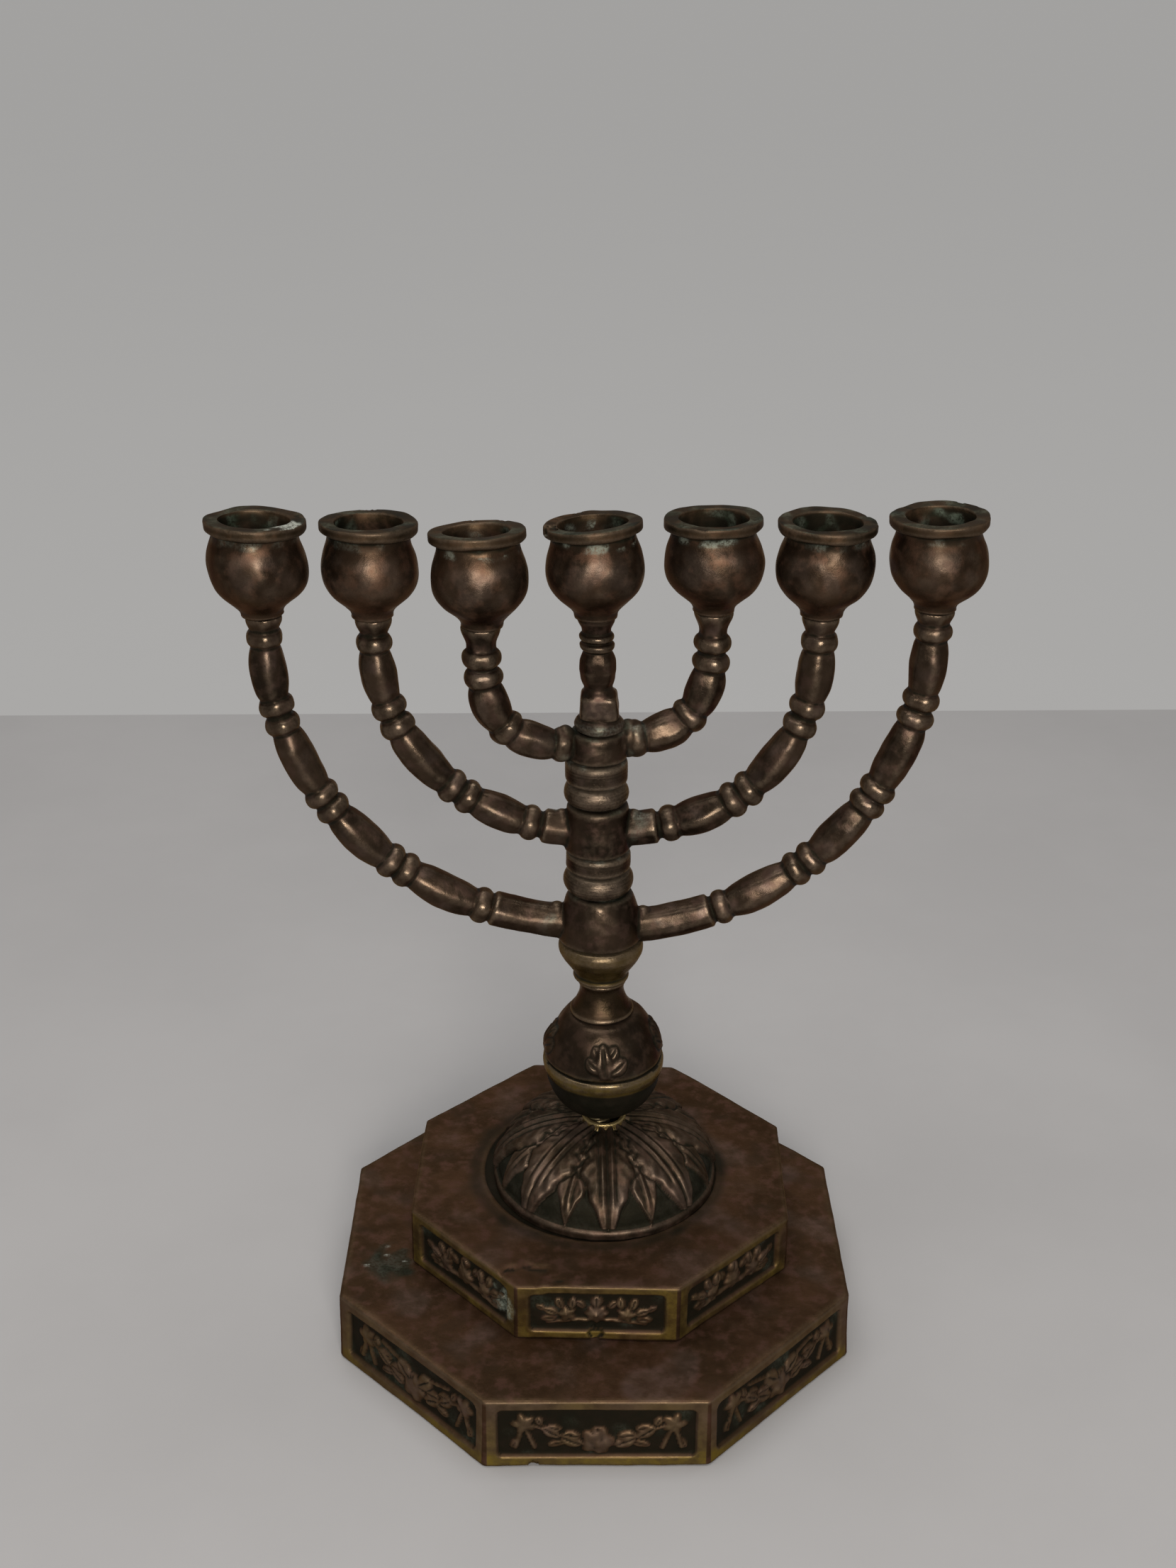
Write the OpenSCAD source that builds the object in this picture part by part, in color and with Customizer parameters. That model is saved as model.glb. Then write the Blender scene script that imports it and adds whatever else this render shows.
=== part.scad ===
// Seven-branched lampstand for candles: cast pieces stacked on one threaded rod.
// +Z is up, +X runs along the arms, the front faces -Y, and the origin is the centre of the foot.

/* [Base] */
// Width of the lower tier across its flats
lower_tier_w = 100; // [90:0.5:110]
// Height of the lower tier
lower_tier_h = 15.4; // [14:0.1:18]
// Width of the upper tier across its flats
upper_tier_w = 74.5; // [66:0.5:80]
// Height of the upper tier
upper_tier_h = 12.8; // [11:0.1:15]
// Turn of the upper tier on the lower one
upper_tier_turn = -2.8; // [-6:0.1:6]
// Wall of the two hollow tiers
tier_wall = 3; // [2.5:0.1:4]
// Depth of the recessed side panels
panel_depth = 0.9; // [0.5:0.1:1.2]
// Depth of the round seat that the dome stands in
dome_seat_depth = 0.9; // [0.5:0.1:1.5]

/* [Dome] */
// Radius of the dome at its foot ring
dome_r = 22.8; // [20:0.1:24]
// Height of the dome, from its seat to the collar
dome_h = 13.2; // [12:0.1:16]
// Number of large leaves round the dome
leaf_count = 8; // [6:1:10]

/* [Stem] */
// Radius of the knop at its band
knop_r = 12.1; // [10:0.1:14]
// Height of the knop's lower bowl, band included
bowl_h = 14.6; // [13:0.1:16]
// Height of the knop's upper shell
knop_shell_h = 10; // [9:0.1:11]
// Height of the waisted neck
neck_h = 7.8; // [7:0.1:10]
// Height of the pear under the outer arms
pear_h = 8.8; // [8:0.1:10]
// Radius of the pear where the outer arms' hub rests on it
pear_r = 8; // [7:0.1:9]
// Height of the outer arms' hub
outer_hub_h = 10.4; // [9:0.1:12]
// Height of the middle arms' hub, cone step included
middle_hub_h = 9.7; // [9:0.1:12]
// Height of the inner arms' hub
inner_hub_h = 5.6; // [5:0.1:7]
// Height of the lower pair of spacer rings
lower_rings_h = 9; // [8:0.1:10]
// Height of the upper pair of spacer rings
upper_rings_h = 9.4; // [8:0.1:10]

/* [Arms] */
// Distance of the outer cups from the stem
outer_reach = 60.8; // [58:0.1:64]
// Distance of the middle cups from the stem
middle_reach = 40.7; // [39.5:0.1:42]
// Distance of the inner cups from the stem
inner_reach = 21.2; // [20.5:0.1:22]
// Turn of the outer arms on the stem, as they stand
outer_turn = 0; // [-10:0.5:10]
// Turn of the middle arms on the stem, as they stand
middle_turn = -1.5; // [-10:0.5:10]
// Turn of the inner arms on the stem, as they stand
inner_turn = 8; // [-10:0.5:10]
// Radius of the beads and spindles along the arms
bead_r = 3.3; // [3:0.1:3.5]
// Radius of the arms between the beads
arm_r = 2.5; // [2.3:0.1:2.8]

/* [Cups] */
// Height of the seats that the cups screw down to
seat_z = 150.4; // [149:0.1:152]
// Height of a cup
cup_h = 17.4; // [16:0.1:20]
// Radius of a cup's rim
rim_r = 8.8; // [8.5:0.1:9.2]
// Radius of a cup's body at its widest
cup_r = 9; // [8.6:0.1:9.3]
// Radius of the candle hole
candle_r = 6.2; // [5.5:0.1:6.5]
// Depth of the candle hole
candle_depth = 11; // [8:0.5:11.5]

/* [Fasteners] */
// Radius of the threaded tie rod
rod_r = 2.5; // [2:0.1:2.6]
// Radius of the threaded stud under each cup
stud_r = 1.5; // [1.3:0.1:1.6]
// Length of a stud in the arm's tip
stud_engaged = 4.4; // [4:0.1:4.8]
// Radial clearance of the swivelling hubs and the studs
running_gap = 0.06; // [0.03:0.01:0.09]
// Gap between pieces that turn on each other
joint_gap = 0.2; // [0.15:0.05:0.3]

/* [Hidden] */
$fn = 72;
// Heights of the faces where the pieces of the stack meet
lower_top_z = lower_tier_h;
upper_top_z = lower_top_z + upper_tier_h;
dome_z = upper_top_z - dome_seat_depth;
collar_z = dome_z + dome_h;
collar_h = 1.9;
bowl_z = collar_z + collar_h;
band_z = bowl_z + bowl_h;
neck_z = band_z + knop_shell_h;
pear_z = neck_z + neck_h;
outer_z = pear_z + pear_h;
lower_rings_z = outer_z + outer_hub_h;
middle_z = lower_rings_z + lower_rings_h;
upper_rings_z = middle_z + middle_hub_h;
inner_z = upper_rings_z + upper_rings_h;
post_z = inner_z + inner_hub_h;
rod_top_z = post_z + 6;
// Parts of the tiers
plate_t = 3;
panel_corner_r = 0.8;
dome_seat_r = dome_r + 1.4;
rod_clearance = 0.1;
washer_t = 1.2;
washer_r = 8;
nut_h = 4;
nut_w = 8;
nut_z = lower_top_z - plate_t - washer_t - nut_h;
rod_bottom_z = nut_z - 1;
// Parts of the knop
band_h = 3;
knop_wall = 1.8;
leaf_lift = 0.7;
// Shares of the two pairs of spacer rings that the round ones take up
lower_round_share = 0.56;
upper_round_share = 0.5;
// Parts of the arms' tips, the cups and the studs
tip_l = 4.4;
stud_in_cup = 3.9;
hole_end_gap = 0.3;

// Where each cup stands, from left to right: [reach, turn]
cup_seats = [
    [-outer_reach, outer_turn], [-middle_reach, middle_turn], [-inner_reach, inner_turn], [0, 0],
    [inner_reach, inner_turn], [middle_reach, middle_turn], [outer_reach, outer_turn]
];

// --- Shapes that repeat ---

// Eight-sided prism with a flat side to the front
module octagon(across, h) {
    rotate(22.5) cylinder(h = h, r = across / 2 / cos(22.5), $fn = 8);
}

// Hole along the stem for the tie rod
module rod_hole(z, h, clearance = rod_clearance) {
    translate([0, 0, z - 1]) cylinder(h = h + 2, r = rod_r + clearance);
}

// Places its children on each side of a tier: X runs along the side, Y up it and Z out of it
module on_each_side(across, z) {
    for (side = [0:7])
        rotate(45 * side) translate([0, -across / 2, z]) rotate([90, 0, 0]) children();
}

// Rounded rectangular plate, its middle at the origin
module rounded_plate(w, h, t, r) {
    translate([-w / 2 + r, -h / 2, 0]) cube([w - 2 * r, h, t]);
    translate([-w / 2, -h / 2 + r, 0]) cube([w, h - 2 * r, t]);
    for (x = [-1, 1], y = [-1, 1])
        translate([x * (w / 2 - r), y * (h / 2 - r), 0]) cylinder(h = t, r = r, $fn = 24);
}

// Hollow eight-sided tier with recessed panels; its children are one panel's raised ornament
module tier(across, h, panel_w, panel_h) {
    difference() {
        octagon(across, h);
        translate([0, 0, -1]) octagon(across - 2 * tier_wall, h + 1 - plate_t);
        on_each_side(across, h / 2) translate([0, 0, -panel_depth])
            rounded_plate(panel_w, panel_h, 3, panel_corner_r);
        rod_hole(0, h);
    }
    on_each_side(across, h / 2) translate([0, 0, -panel_depth - 0.1]) children();
}

// Raised round flower with a bud in its middle
module flower(r, t) {
    cylinder(h = t, r = r, $fn = 24);
    cylinder(h = t + 0.3, r = r * 0.4, $fn = 24);
}

// Solid of revolution from a list of [radius, height], closed along the axis
module turned(outline) {
    rotate_extrude() polygon(concat([[0, outline[0][1]]], outline, [[0, outline[len(outline) - 1][1]]]));
}

// Points of a bulge from [r0, z0] to [r1, z1], swelling by `swell` half way
function bulge(r0, z0, r1, z1, swell, steps = 6) = [
    for (i = [0:steps]) let (t = i / steps) [r0 + (r1 - r0) * t + swell * sin(180 * t), z0 + (z1 - z0) * t]
];

// Points of a quarter ellipse, from the angle a0 to the angle a1
function ellipse_arc(r, h, z, a0, a1, steps = 8) = [
    for (i = [0:steps]) let (a = a0 + (a1 - a0) * i / steps) [r * cos(a), z + h * sin(a)]
];

// --- Base ---

module base_lower_tier() {
    color("#4a3b2c") tier(lower_tier_w, lower_tier_h, 36.8, 10.6) {
        translate([0, -2.2, 0]) flower(2.2, 0.8);
        for (s = [-1, 1]) {
            for (i = [1:4])
                translate([s * (1.2 + 2.7 * i), -3 + 0.28 * i * i, 0])
                    cylinder(h = 0.7, r = 1.5 - 0.1 * i, $fn = 24);
            translate([s * 14.6, 2.4, 0]) flower(1.4, 0.7);
            translate([s * 15.4 - 0.4, -2.6, 0]) cube([0.8, 4, 0.6]);
        }
    }
}

module base_upper_tier() {
    color("#4f3f2f") translate([0, 0, lower_top_z]) rotate(upper_tier_turn) difference() {
        tier(upper_tier_w, upper_tier_h, 25.6, 8.7) {
            flower(2.4, 0.8);
            for (s = [-1, 1]) {
                translate([s * 5.6, 0, 0]) flower(1.9, 0.7);
                for (i = [0:2])
                    translate([s * (8.4 + 1.5 * i), 0.4 * i, 0])
                        cylinder(h = 0.6, r = 1.1 - 0.2 * i, $fn = 24);
            }
        }
        translate([0, 0, upper_tier_h - dome_seat_depth]) cylinder(h = 2, r = dome_seat_r);
    }
}

// --- Dome ---

// Outline of the dome; `lift` raises it to the leaves' outer face
function dome_outline(lift) = ellipse_arc(dome_r - 1.3 + lift, dome_h - 2.6 + lift, 2.6, 0, 74);

// Upright prism with the plan of a pointed leaf along +X
module leaf_prism(from_r, to_r, w) {
    half = (to_r - from_r) / 2;
    r = (half * half + w * w / 4) / w;
    intersection() {
        translate([from_r + half, w / 2 - r, 1]) cylinder(h = dome_h, r = r);
        translate([from_r + half, r - w / 2, 1]) cylinder(h = dome_h, r = r);
    }
}

module leaf_dome() {
    color("#5a4a35") translate([0, 0, dome_z]) difference() {
        union() {
            turned(concat(
                [[dome_r - 0.6, 0], [dome_r, 0.5], [dome_r, 1.7], [dome_r - 0.5, 2.2]],
                dome_outline(0), [[5.2, dome_h - 0.2], [5.2, dome_h]]));
            intersection() {
                turned(concat([[dome_r, 1.8]], dome_outline(leaf_lift)));
                union() {
                    for (i = [0:leaf_count - 1]) {
                        rotate(-90 + i * 360 / leaf_count) leaf_prism(5, dome_r - 0.4, 8.4);
                        rotate(-90 + (i + 0.5) * 360 / leaf_count) leaf_prism(8, dome_r - 1, 4.6);
                    }
                }
            }
        }
        turned(concat([[dome_r - 3.4, -1], [dome_r - 3.4, 1]],
                      ellipse_arc(dome_r - 3.6, dome_h - 5.4, 1, 0, 90)));
        rod_hole(0, dome_h);
    }
}

module dome_collar() {
    color("#b08d3c") difference() {
        translate([0, 0, collar_z]) turned([[4.1, 0], [4.1, 0.5], [3.7, 0.9], [3.9, collar_h]]);
        rod_hole(collar_z, collar_h);
    }
}

// --- Knop and stem ---

module knop_bowl() {
    lower_h = bowl_h - band_h;
    color("#6d5a35") difference() {
        translate([0, 0, bowl_z]) turned(concat(
            ellipse_arc(knop_r - 0.3, lower_h, lower_h, -70, 0),
            [[knop_r, lower_h + 0.3], [knop_r, bowl_h - 0.4], [knop_r - 0.3, bowl_h]]));
        translate([0, 0, bowl_z + knop_wall]) turned(concat(
            ellipse_arc(knop_r - knop_wall, lower_h - knop_wall, lower_h - knop_wall, -90, 0),
            [[knop_r - knop_wall, bowl_h]]));
        rod_hole(bowl_z, bowl_h);
    }
}

module knop_shell() {
    color("#4b3d2c") difference() {
        union() {
            translate([0, 0, band_z]) turned(concat(
                [[knop_r - 0.4, 0]], ellipse_arc(knop_r - 0.3, 11.8, 0, 6, 56), [[6.6, knop_shell_h]]));
            intersection() {
                translate([0, 0, band_z])
                    turned(concat([[knop_r, 1]], ellipse_arc(knop_r + 0.2, 12.2, 0, 8, 50)));
                for (i = [0:5]) rotate(-90 + 60 * i) for (s = [-1, 1])
                    translate([7, 1.9 * s, band_z + 4.6]) rotate([0, 90, 0])
                        cylinder(h = 6, r = 1.7, $fn = 24);
            }
        }
        translate([0, 0, band_z - 1]) turned(concat(
            [[knop_r - knop_wall, 0]], ellipse_arc(knop_r - knop_wall, 9.8, 0.6, 0, 84)));
        rod_hole(band_z, knop_shell_h);
    }
}

module neck_baluster() {
    color("#57472f") difference() {
        translate([0, 0, neck_z]) turned(concat(
            [[6.4, 0], [6.4, 0.8], [5.4, 1.4]], bulge(5.2, 1.8, 5, neck_h - 0.4, -0.9), [[5.1, neck_h]]));
        rod_hole(neck_z, neck_h);
    }
}

module stem_pear() {
    color("#8a7038") difference() {
        translate([0, 0, pear_z]) turned(concat(
            [[5.5, 0], [5.6, 0.9], [5, 1.3]],
            bulge(5.1, 1.5, pear_r, pear_h - 1.2, 0.9), [[pear_r - 0.1, pear_h]]));
        rod_hole(pear_z, pear_h);
    }
}

// Ring with a rounded outside, threaded on the rod
module round_ring(r, h) {
    difference() {
        turned(ellipse_arc(2.2, h / 2, h / 2, -90, 90, 12) + [for (i = [0:12]) [r - 2.2, 0]]);
        rod_hole(0, h);
    }
}

// Ring with straight bevelled sides, threaded on the rod
module band_ring(r, h) {
    difference() {
        turned([[r - 0.5, 0], [r, 0.6], [r, h - 0.5], [r - 0.4, h]]);
        rod_hole(0, h);
    }
}

module lower_round_ring() {
    color("#54442f") translate([0, 0, lower_rings_z + joint_gap])
        round_ring(6.7, lower_rings_h * lower_round_share - joint_gap);
}

module lower_band_ring() {
    color("#4a3c2b") translate([0, 0, lower_rings_z + lower_rings_h * lower_round_share])
        band_ring(6.2, lower_rings_h * (1 - lower_round_share));
}

module upper_round_ring() {
    color("#54442f") translate([0, 0, upper_rings_z + joint_gap])
        round_ring(6.1, upper_rings_h * upper_round_share - joint_gap);
}

module upper_band_ring() {
    color("#4a3c2b") translate([0, 0, upper_rings_z + upper_rings_h * upper_round_share])
        band_ring(5.9, upper_rings_h * (1 - upper_round_share));
}

// --- Arms: the path is a superellipse in the plane of the stem, straight up at the tip ---

// Shape of each pair's path: [reach, height where it turns upright, drop, exponent,
// distance from the axis at the hub]
outer_path = [outer_reach, 148.4, 62.2, 2.1, 5.5];
middle_path = [middle_reach, 146, 38.6, 2.3, 4.5];
inner_path = [inner_reach, 140, 15, 2.5, 4];
function path_point(p, t) = [p[0] * pow(sin(t), 2 / p[3]), p[1] - p[2] * pow(cos(t), 2 / p[3])];
path_steps = 48;
function path_points(p) =
    let (start = asin(pow(p[4] / p[0], p[3] / 2)))
    concat([for (i = [0:path_steps]) path_point(p, start + (90 - start) * i / path_steps)], [[p[0], seat_z]]);

// Length of a list of points up to entry k
function run(pts, k) = k == 0 ? 0 : run(pts, k - 1) + norm(pts[k] - pts[k - 1]);

// Point at a distance d along a list of points
function along(pts, d, k = 1) =
    let (step = norm(pts[k] - pts[k - 1]))
    d <= step || k == len(pts) - 1
        ? pts[k - 1] + (pts[k] - pts[k - 1]) * d / step
        : along(pts, d - step, k + 1);

// Places its children at the point a in the plane of the arm, with Z towards the point b
module between(a, b) {
    dir = b - a;
    translate([a[0], 0, a[1]]) rotate([0, atan2(dir[0], dir[1]), 0]) children();
}

// Round bead with its axis along Z
module bead(w = 1.3) {
    rotate_extrude($fn = 32) translate([bead_r - w, 0]) circle(r = w, $fn = 24);
}

// Spindle with its axis along Z, widest in the middle
module spindle(l) {
    translate([0, 0, -l / 2]) rotate_extrude($fn = 32)
        polygon(concat([[0, 0]], bulge(arm_r, 0, arm_r, l, bead_r - arm_r + 0.1), [[0, l]]));
}

// Beads stand at the joints of the straight bars; a pair with a spindle between them is one unit
bar_overlap = 0.25;
unit_share = 0.76;

// One arm towards +X, with `units` units between the first bead, at `hub_end` along the arm, and the tip
module arm(p, units, hub_end) {
    pts = path_points(p);
    total = run(pts, len(pts) - 1);
    pitch = (total - tip_l - hub_end) / (units - 1 + unit_share);
    joints = concat([0], [for (u = [0:units - 1], share = [0, unit_share]) hub_end + (u + share) * pitch]);
    for (k = [1:len(joints) - 1]) {
        a = along(pts, joints[k - 1]);
        b = along(pts, joints[k]);
        between(a, b) translate([0, 0, -bar_overlap])
            cylinder(h = norm(b - a) + 2 * bar_overlap, r = arm_r, $fn = 32);
        between(b, along(pts, joints[k] + 0.3)) bead();
        if (k % 2 == 0) between((a + b) / 2, b) spindle(0.56 * pitch);
    }
    translate([p[0], 0, seat_z - tip_l - bar_overlap])
        cylinder(h = tip_l + bar_overlap, r1 = arm_r, r2 = 3.5);
}

// A pair of arms cast with its hub, the stud holes in the tips and the bore on the rod
module arm_pair(p, units, hub_end, hub_z, hub_outline, turn) {
    rotate(turn) difference() {
        union() {
            for (s = [0, 180]) rotate(s) arm(p, units, hub_end);
            translate([0, 0, hub_z]) turned(hub_outline);
        }
        rod_hole(hub_z, hub_outline[len(hub_outline) - 1][1], running_gap);
        for (s = [-1, 1])
            translate([s * p[0], 0, seat_z - stud_engaged - hole_end_gap])
                cylinder(h = stud_engaged + 2, r = stud_r + running_gap);
    }
}

module outer_arms() {
    h = outer_hub_h - joint_gap;
    hub = concat([[7.9, 0], [8, 0.8]], bulge(7.8, 1.4, 6.1, h - 0.4, 0.3), [[5.8, h]]);
    color("#4d4030") arm_pair(outer_path, 4, 17.5, outer_z + joint_gap, hub, outer_turn);
}

module middle_arms() {
    step = middle_hub_h - 3.3;
    hub = [[6.2, 0], [6.4, 0.5], [6.1, step], [6.1, step + 0.3], [5.8, middle_hub_h - joint_gap]];
    color("#4d4030") arm_pair(middle_path, 3, 9.3, middle_z + joint_gap, hub, middle_turn);
}

module inner_arms() {
    h = inner_hub_h - joint_gap;
    hub = [[5.4, 0], [5.6, 0.6], [5.1, h - 0.4], [4.8, h]];
    color("#4d4030") arm_pair(inner_path, 2, 4.4, inner_z + joint_gap, hub, inner_turn);
}

module center_post() {
    h = seat_z - post_z - joint_gap;
    color("#4d4030") difference() {
        translate([0, 0, post_z + joint_gap]) {
            turned(concat([[4.4, 0], [4.6, 0.4], [4.6, 1.7], [3.9, 2.1], [3.9, 6.6], [2.8, 7.4]],
                          bulge(2.6, 7.6, 2.6, 14.4, 0.8), [[2.6, h - 3.2], [3.5, h]]));
            for (z = [15.4, 17.4]) translate([0, 0, z]) bead(1.1);
        }
        translate([0, 0, post_z - 1]) cylinder(h = 7.1, r = rod_r);
        translate([0, 0, seat_z - stud_engaged - hole_end_gap])
            cylinder(h = stud_engaged + 2, r = stud_r + running_gap);
    }
}

// --- Cups, studs and fasteners ---

// Outline of a cup's outside, from its seat to its rim
cup_outline = concat(
    [[3.4, 0], [3.4, 1]], [for (i = [0:4]) let (t = i / 4) [3.5 + 4 * t, 1.6 + 2.4 * t + 0.6 * sin(180 * t)]],
    ellipse_arc(cup_r, 5.2, 8.6, -36, -4), ellipse_arc(cup_r, 10.5, 8.6, 0, 33),
    [[rim_r - 1.1, cup_h - 2.6], [rim_r, cup_h - 2], [rim_r, cup_h - 0.3], [rim_r - 0.3, cup_h]]
);

// Places its children at the seat of cup n, counted from the left
module at_seat(n) {
    seat = cup_seats[n - 1];
    rotate(seat[1]) translate([seat[0], 0, seat_z]) children();
}

module cup(n) {
    color("#553f30") at_seat(n) translate([0, 0, joint_gap]) difference() {
        turned(cup_outline);
        translate([0, 0, cup_h - candle_depth]) cylinder(h = candle_depth + 1, r = candle_r);
        translate([0, 0, -1]) cylinder(h = 1 + stud_in_cup + 0.2, r = stud_r + running_gap);
    }
}

module stud(n) {
    color("#8c7a4a") at_seat(n) translate([0, 0, -stud_engaged])
        cylinder(h = stud_engaged + joint_gap + stud_in_cup, r = stud_r);
}

module tie_rod() {
    color("#8c8672") translate([0, 0, rod_bottom_z]) cylinder(h = rod_top_z - rod_bottom_z, r = rod_r);
}

module washer() {
    color("#7d7765") translate([0, 0, nut_z + nut_h]) difference() {
        cylinder(h = washer_t, r = washer_r);
        rod_hole(0, washer_t);
    }
}

module hex_nut() {
    color("#8c8672") translate([0, 0, nut_z]) difference() {
        cylinder(h = nut_h, r = nut_w / 2 / cos(30), $fn = 6);
        rod_hole(0, nut_h, 0);
    }
}

base_lower_tier();
base_upper_tier();
leaf_dome();
dome_collar();
knop_bowl();
knop_shell();
neck_baluster();
stem_pear();
lower_round_ring();
lower_band_ring();
upper_round_ring();
upper_band_ring();
center_post();
tie_rod();
washer();
hex_nut();
outer_arms();
middle_arms();
inner_arms();
for (n = [1:7]) {
    cup(n);
    stud(n);
}
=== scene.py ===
"""Seven-branched lampstand of old cast bronze, built piece by piece round its CAD frame."""
import math

import bpy
import numpy as np
from mathutils import Matrix, Vector


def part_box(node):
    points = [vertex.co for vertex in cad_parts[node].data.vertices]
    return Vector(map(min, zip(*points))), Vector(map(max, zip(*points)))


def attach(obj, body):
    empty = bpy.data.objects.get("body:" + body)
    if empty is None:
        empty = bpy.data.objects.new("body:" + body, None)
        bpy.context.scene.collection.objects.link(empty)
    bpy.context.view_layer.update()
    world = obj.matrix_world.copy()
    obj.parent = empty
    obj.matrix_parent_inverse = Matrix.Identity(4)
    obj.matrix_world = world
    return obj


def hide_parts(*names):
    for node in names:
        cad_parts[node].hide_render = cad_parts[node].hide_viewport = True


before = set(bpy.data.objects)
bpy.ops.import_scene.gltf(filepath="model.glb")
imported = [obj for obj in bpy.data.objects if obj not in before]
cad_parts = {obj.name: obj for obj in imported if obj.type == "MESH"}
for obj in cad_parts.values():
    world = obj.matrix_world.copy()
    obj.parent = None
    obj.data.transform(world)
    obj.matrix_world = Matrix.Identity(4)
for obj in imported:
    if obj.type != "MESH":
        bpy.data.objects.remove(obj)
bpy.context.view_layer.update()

# All shapes below are worked out in millimetres, in the frame of the CAD model.
MM = 0.001
TURN = 2 * math.pi


# --- Where the CAD pieces are ---

def low_z(node):
    """Height of a CAD node's lowest point."""
    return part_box(node)[0][2] / MM


def top_z(node):
    """Height of a CAD node's highest point."""
    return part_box(node)[1][2] / MM


def middle(node):
    """Centre of a CAD node's box, seen from above."""
    lo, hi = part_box(node)
    return np.array([lo[0] + hi[0], lo[1] + hi[1]]) / 2 / MM


# --- Numbers along a surface ---

def ease(start, end, value):
    """0 before start, 1 after end, and a smooth step between them."""
    t = np.clip((value - start) / (end - start), 0, 1)
    return t * t * (3 - 2 * t)


def lumps(points, size, seed, waves=28):
    """Smooth noise with bumps about `size` across, mostly between -1 and 1."""
    rng = np.random.default_rng(seed)
    way = rng.normal(size=(3, waves))
    way *= rng.uniform(0.6, 1.5, waves) * math.pi / size / np.linalg.norm(way, axis=0)
    return np.sin(points @ way + rng.uniform(0, TURN, waves)).sum(axis=1) / math.sqrt(waves)


def angles(count):
    """Even directions round a circle."""
    return np.arange(count) * TURN / count


def spin(x, y, degrees):
    """Places turned about the upright axis."""
    turn = math.radians(degrees)
    return x * math.cos(turn) - y * math.sin(turn), x * math.sin(turn) + y * math.cos(turn)


def path(corners, step, closed=False, rounds=2):
    """Points along straight lines between the corners, softened; step may differ for each line."""
    corners = np.array(corners, float)
    ends = np.roll(corners, -1, axis=0) if closed else corners[1:]
    steps = np.broadcast_to(step, len(ends))
    line = []
    for a, b, s in zip(corners, ends, steps):
        count = max(1, round(float(np.linalg.norm(b - a)) / s))
        line.append(a + (b - a) * np.arange(count)[:, None] / count)
    line = np.vstack(line if closed else line + [corners[-1:]])
    for _ in range(rounds):
        around = (np.roll(line, 1, axis=0) + 2 * line + np.roll(line, -1, axis=0)) / 4
        if not closed:
            around[0], around[-1] = line[0], line[-1]
        line = around
    return line


# --- Closed surfaces: each is a pair (points, faces) ---

def normals(points, faces):
    """Outward direction at every point."""
    total = np.zeros_like(points)
    for f in faces:
        n = np.cross(points[f[:, 2]] - points[f[:, 0]], points[f[:, -1]] - points[f[:, 1]])
        for corner in range(f.shape[1]):
            for axis in range(3):
                total[:, axis] += np.bincount(f[:, corner], n[:, axis], len(points))
    return total / np.maximum(np.linalg.norm(total, axis=1, keepdims=True), 1e-12)


def outward(points, faces):
    """The same surface with its faces looking out."""
    volume = 0
    for f in faces:
        for k in range(1, f.shape[1] - 1):
            a, b, c = points[f[:, 0]], points[f[:, k]], points[f[:, k + 1]]
            volume += np.einsum("ij,ij->", a, np.cross(b, c))
    return points, [f[:, ::-1] for f in faces] if volume < 0 else faces


def skin(rings, closed):
    """Surface through rings of points; closed joins the last ring to the first, otherwise a fan ends both."""
    rows, cols = rings.shape[:2]
    points = rings.reshape(-1, 3)
    col = np.arange(cols)
    after = (col + 1) % cols
    row = np.arange(rows if closed else rows - 1)[:, None] * cols
    above = (row + cols) % (rows * cols)
    faces = [np.stack([row + col, row + after, above + after, above + col], -1).reshape(-1, 4)]
    if not closed:
        tip = rows * cols
        end = tip - cols
        points = np.vstack([points, rings[0].mean(axis=0), rings[-1].mean(axis=0)])
        faces.append(np.stack([after, col, np.full(cols, tip)], -1))
        faces.append(np.stack([end + col, end + after, np.full(cols, tip + 1)], -1))
    return outward(points, faces)


def turned(profile, cols, at=(0, 0)):
    """Rings of points that a profile of [radius, height] sweeps round an upright axis."""
    angle = angles(cols)
    r, z = profile[:, :1], profile[:, 1:]
    return np.stack([at[0] + r * np.cos(angle), at[1] + r * np.sin(angle), z + 0 * angle], -1)


def joined(shapes):
    """Several surfaces as one, with all faces as quads where they can be."""
    points, quads, fans, count = [], [], [], 0
    for p, faces in shapes:
        for f in faces:
            (quads if f.shape[1] == 4 else fans).append(f + count)
        points.append(p)
        count += len(p)
    return np.vstack(points), [np.vstack(group) for group in (quads, fans) if group]


def averaged(points, faces, rounds, share=0.5):
    """The points after each has moved towards its neighbours' average, `rounds` times."""
    a = np.concatenate([f[:, k] for f in faces for k in range(f.shape[1])])
    b = np.concatenate([np.roll(f, -1, axis=1)[:, k] for f in faces for k in range(f.shape[1])])
    a, b = np.concatenate([a, b]), np.concatenate([b, a])
    count = np.bincount(a, minlength=len(points))[:, None]
    for _ in range(rounds):
        total = np.stack([np.bincount(a, points[b, axis], len(points)) for axis in range(3)], 1)
        points = points + share * (total / count - points)
    return points


def lumpy(shape, *layers):
    """The surface pushed in and out by layers of noise: (size, depth, seed)."""
    points, faces = shape
    push = sum(depth * lumps(points, size, seed) for size, depth, seed in layers)
    return points + normals(points, faces) * push[:, None], faces


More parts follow.
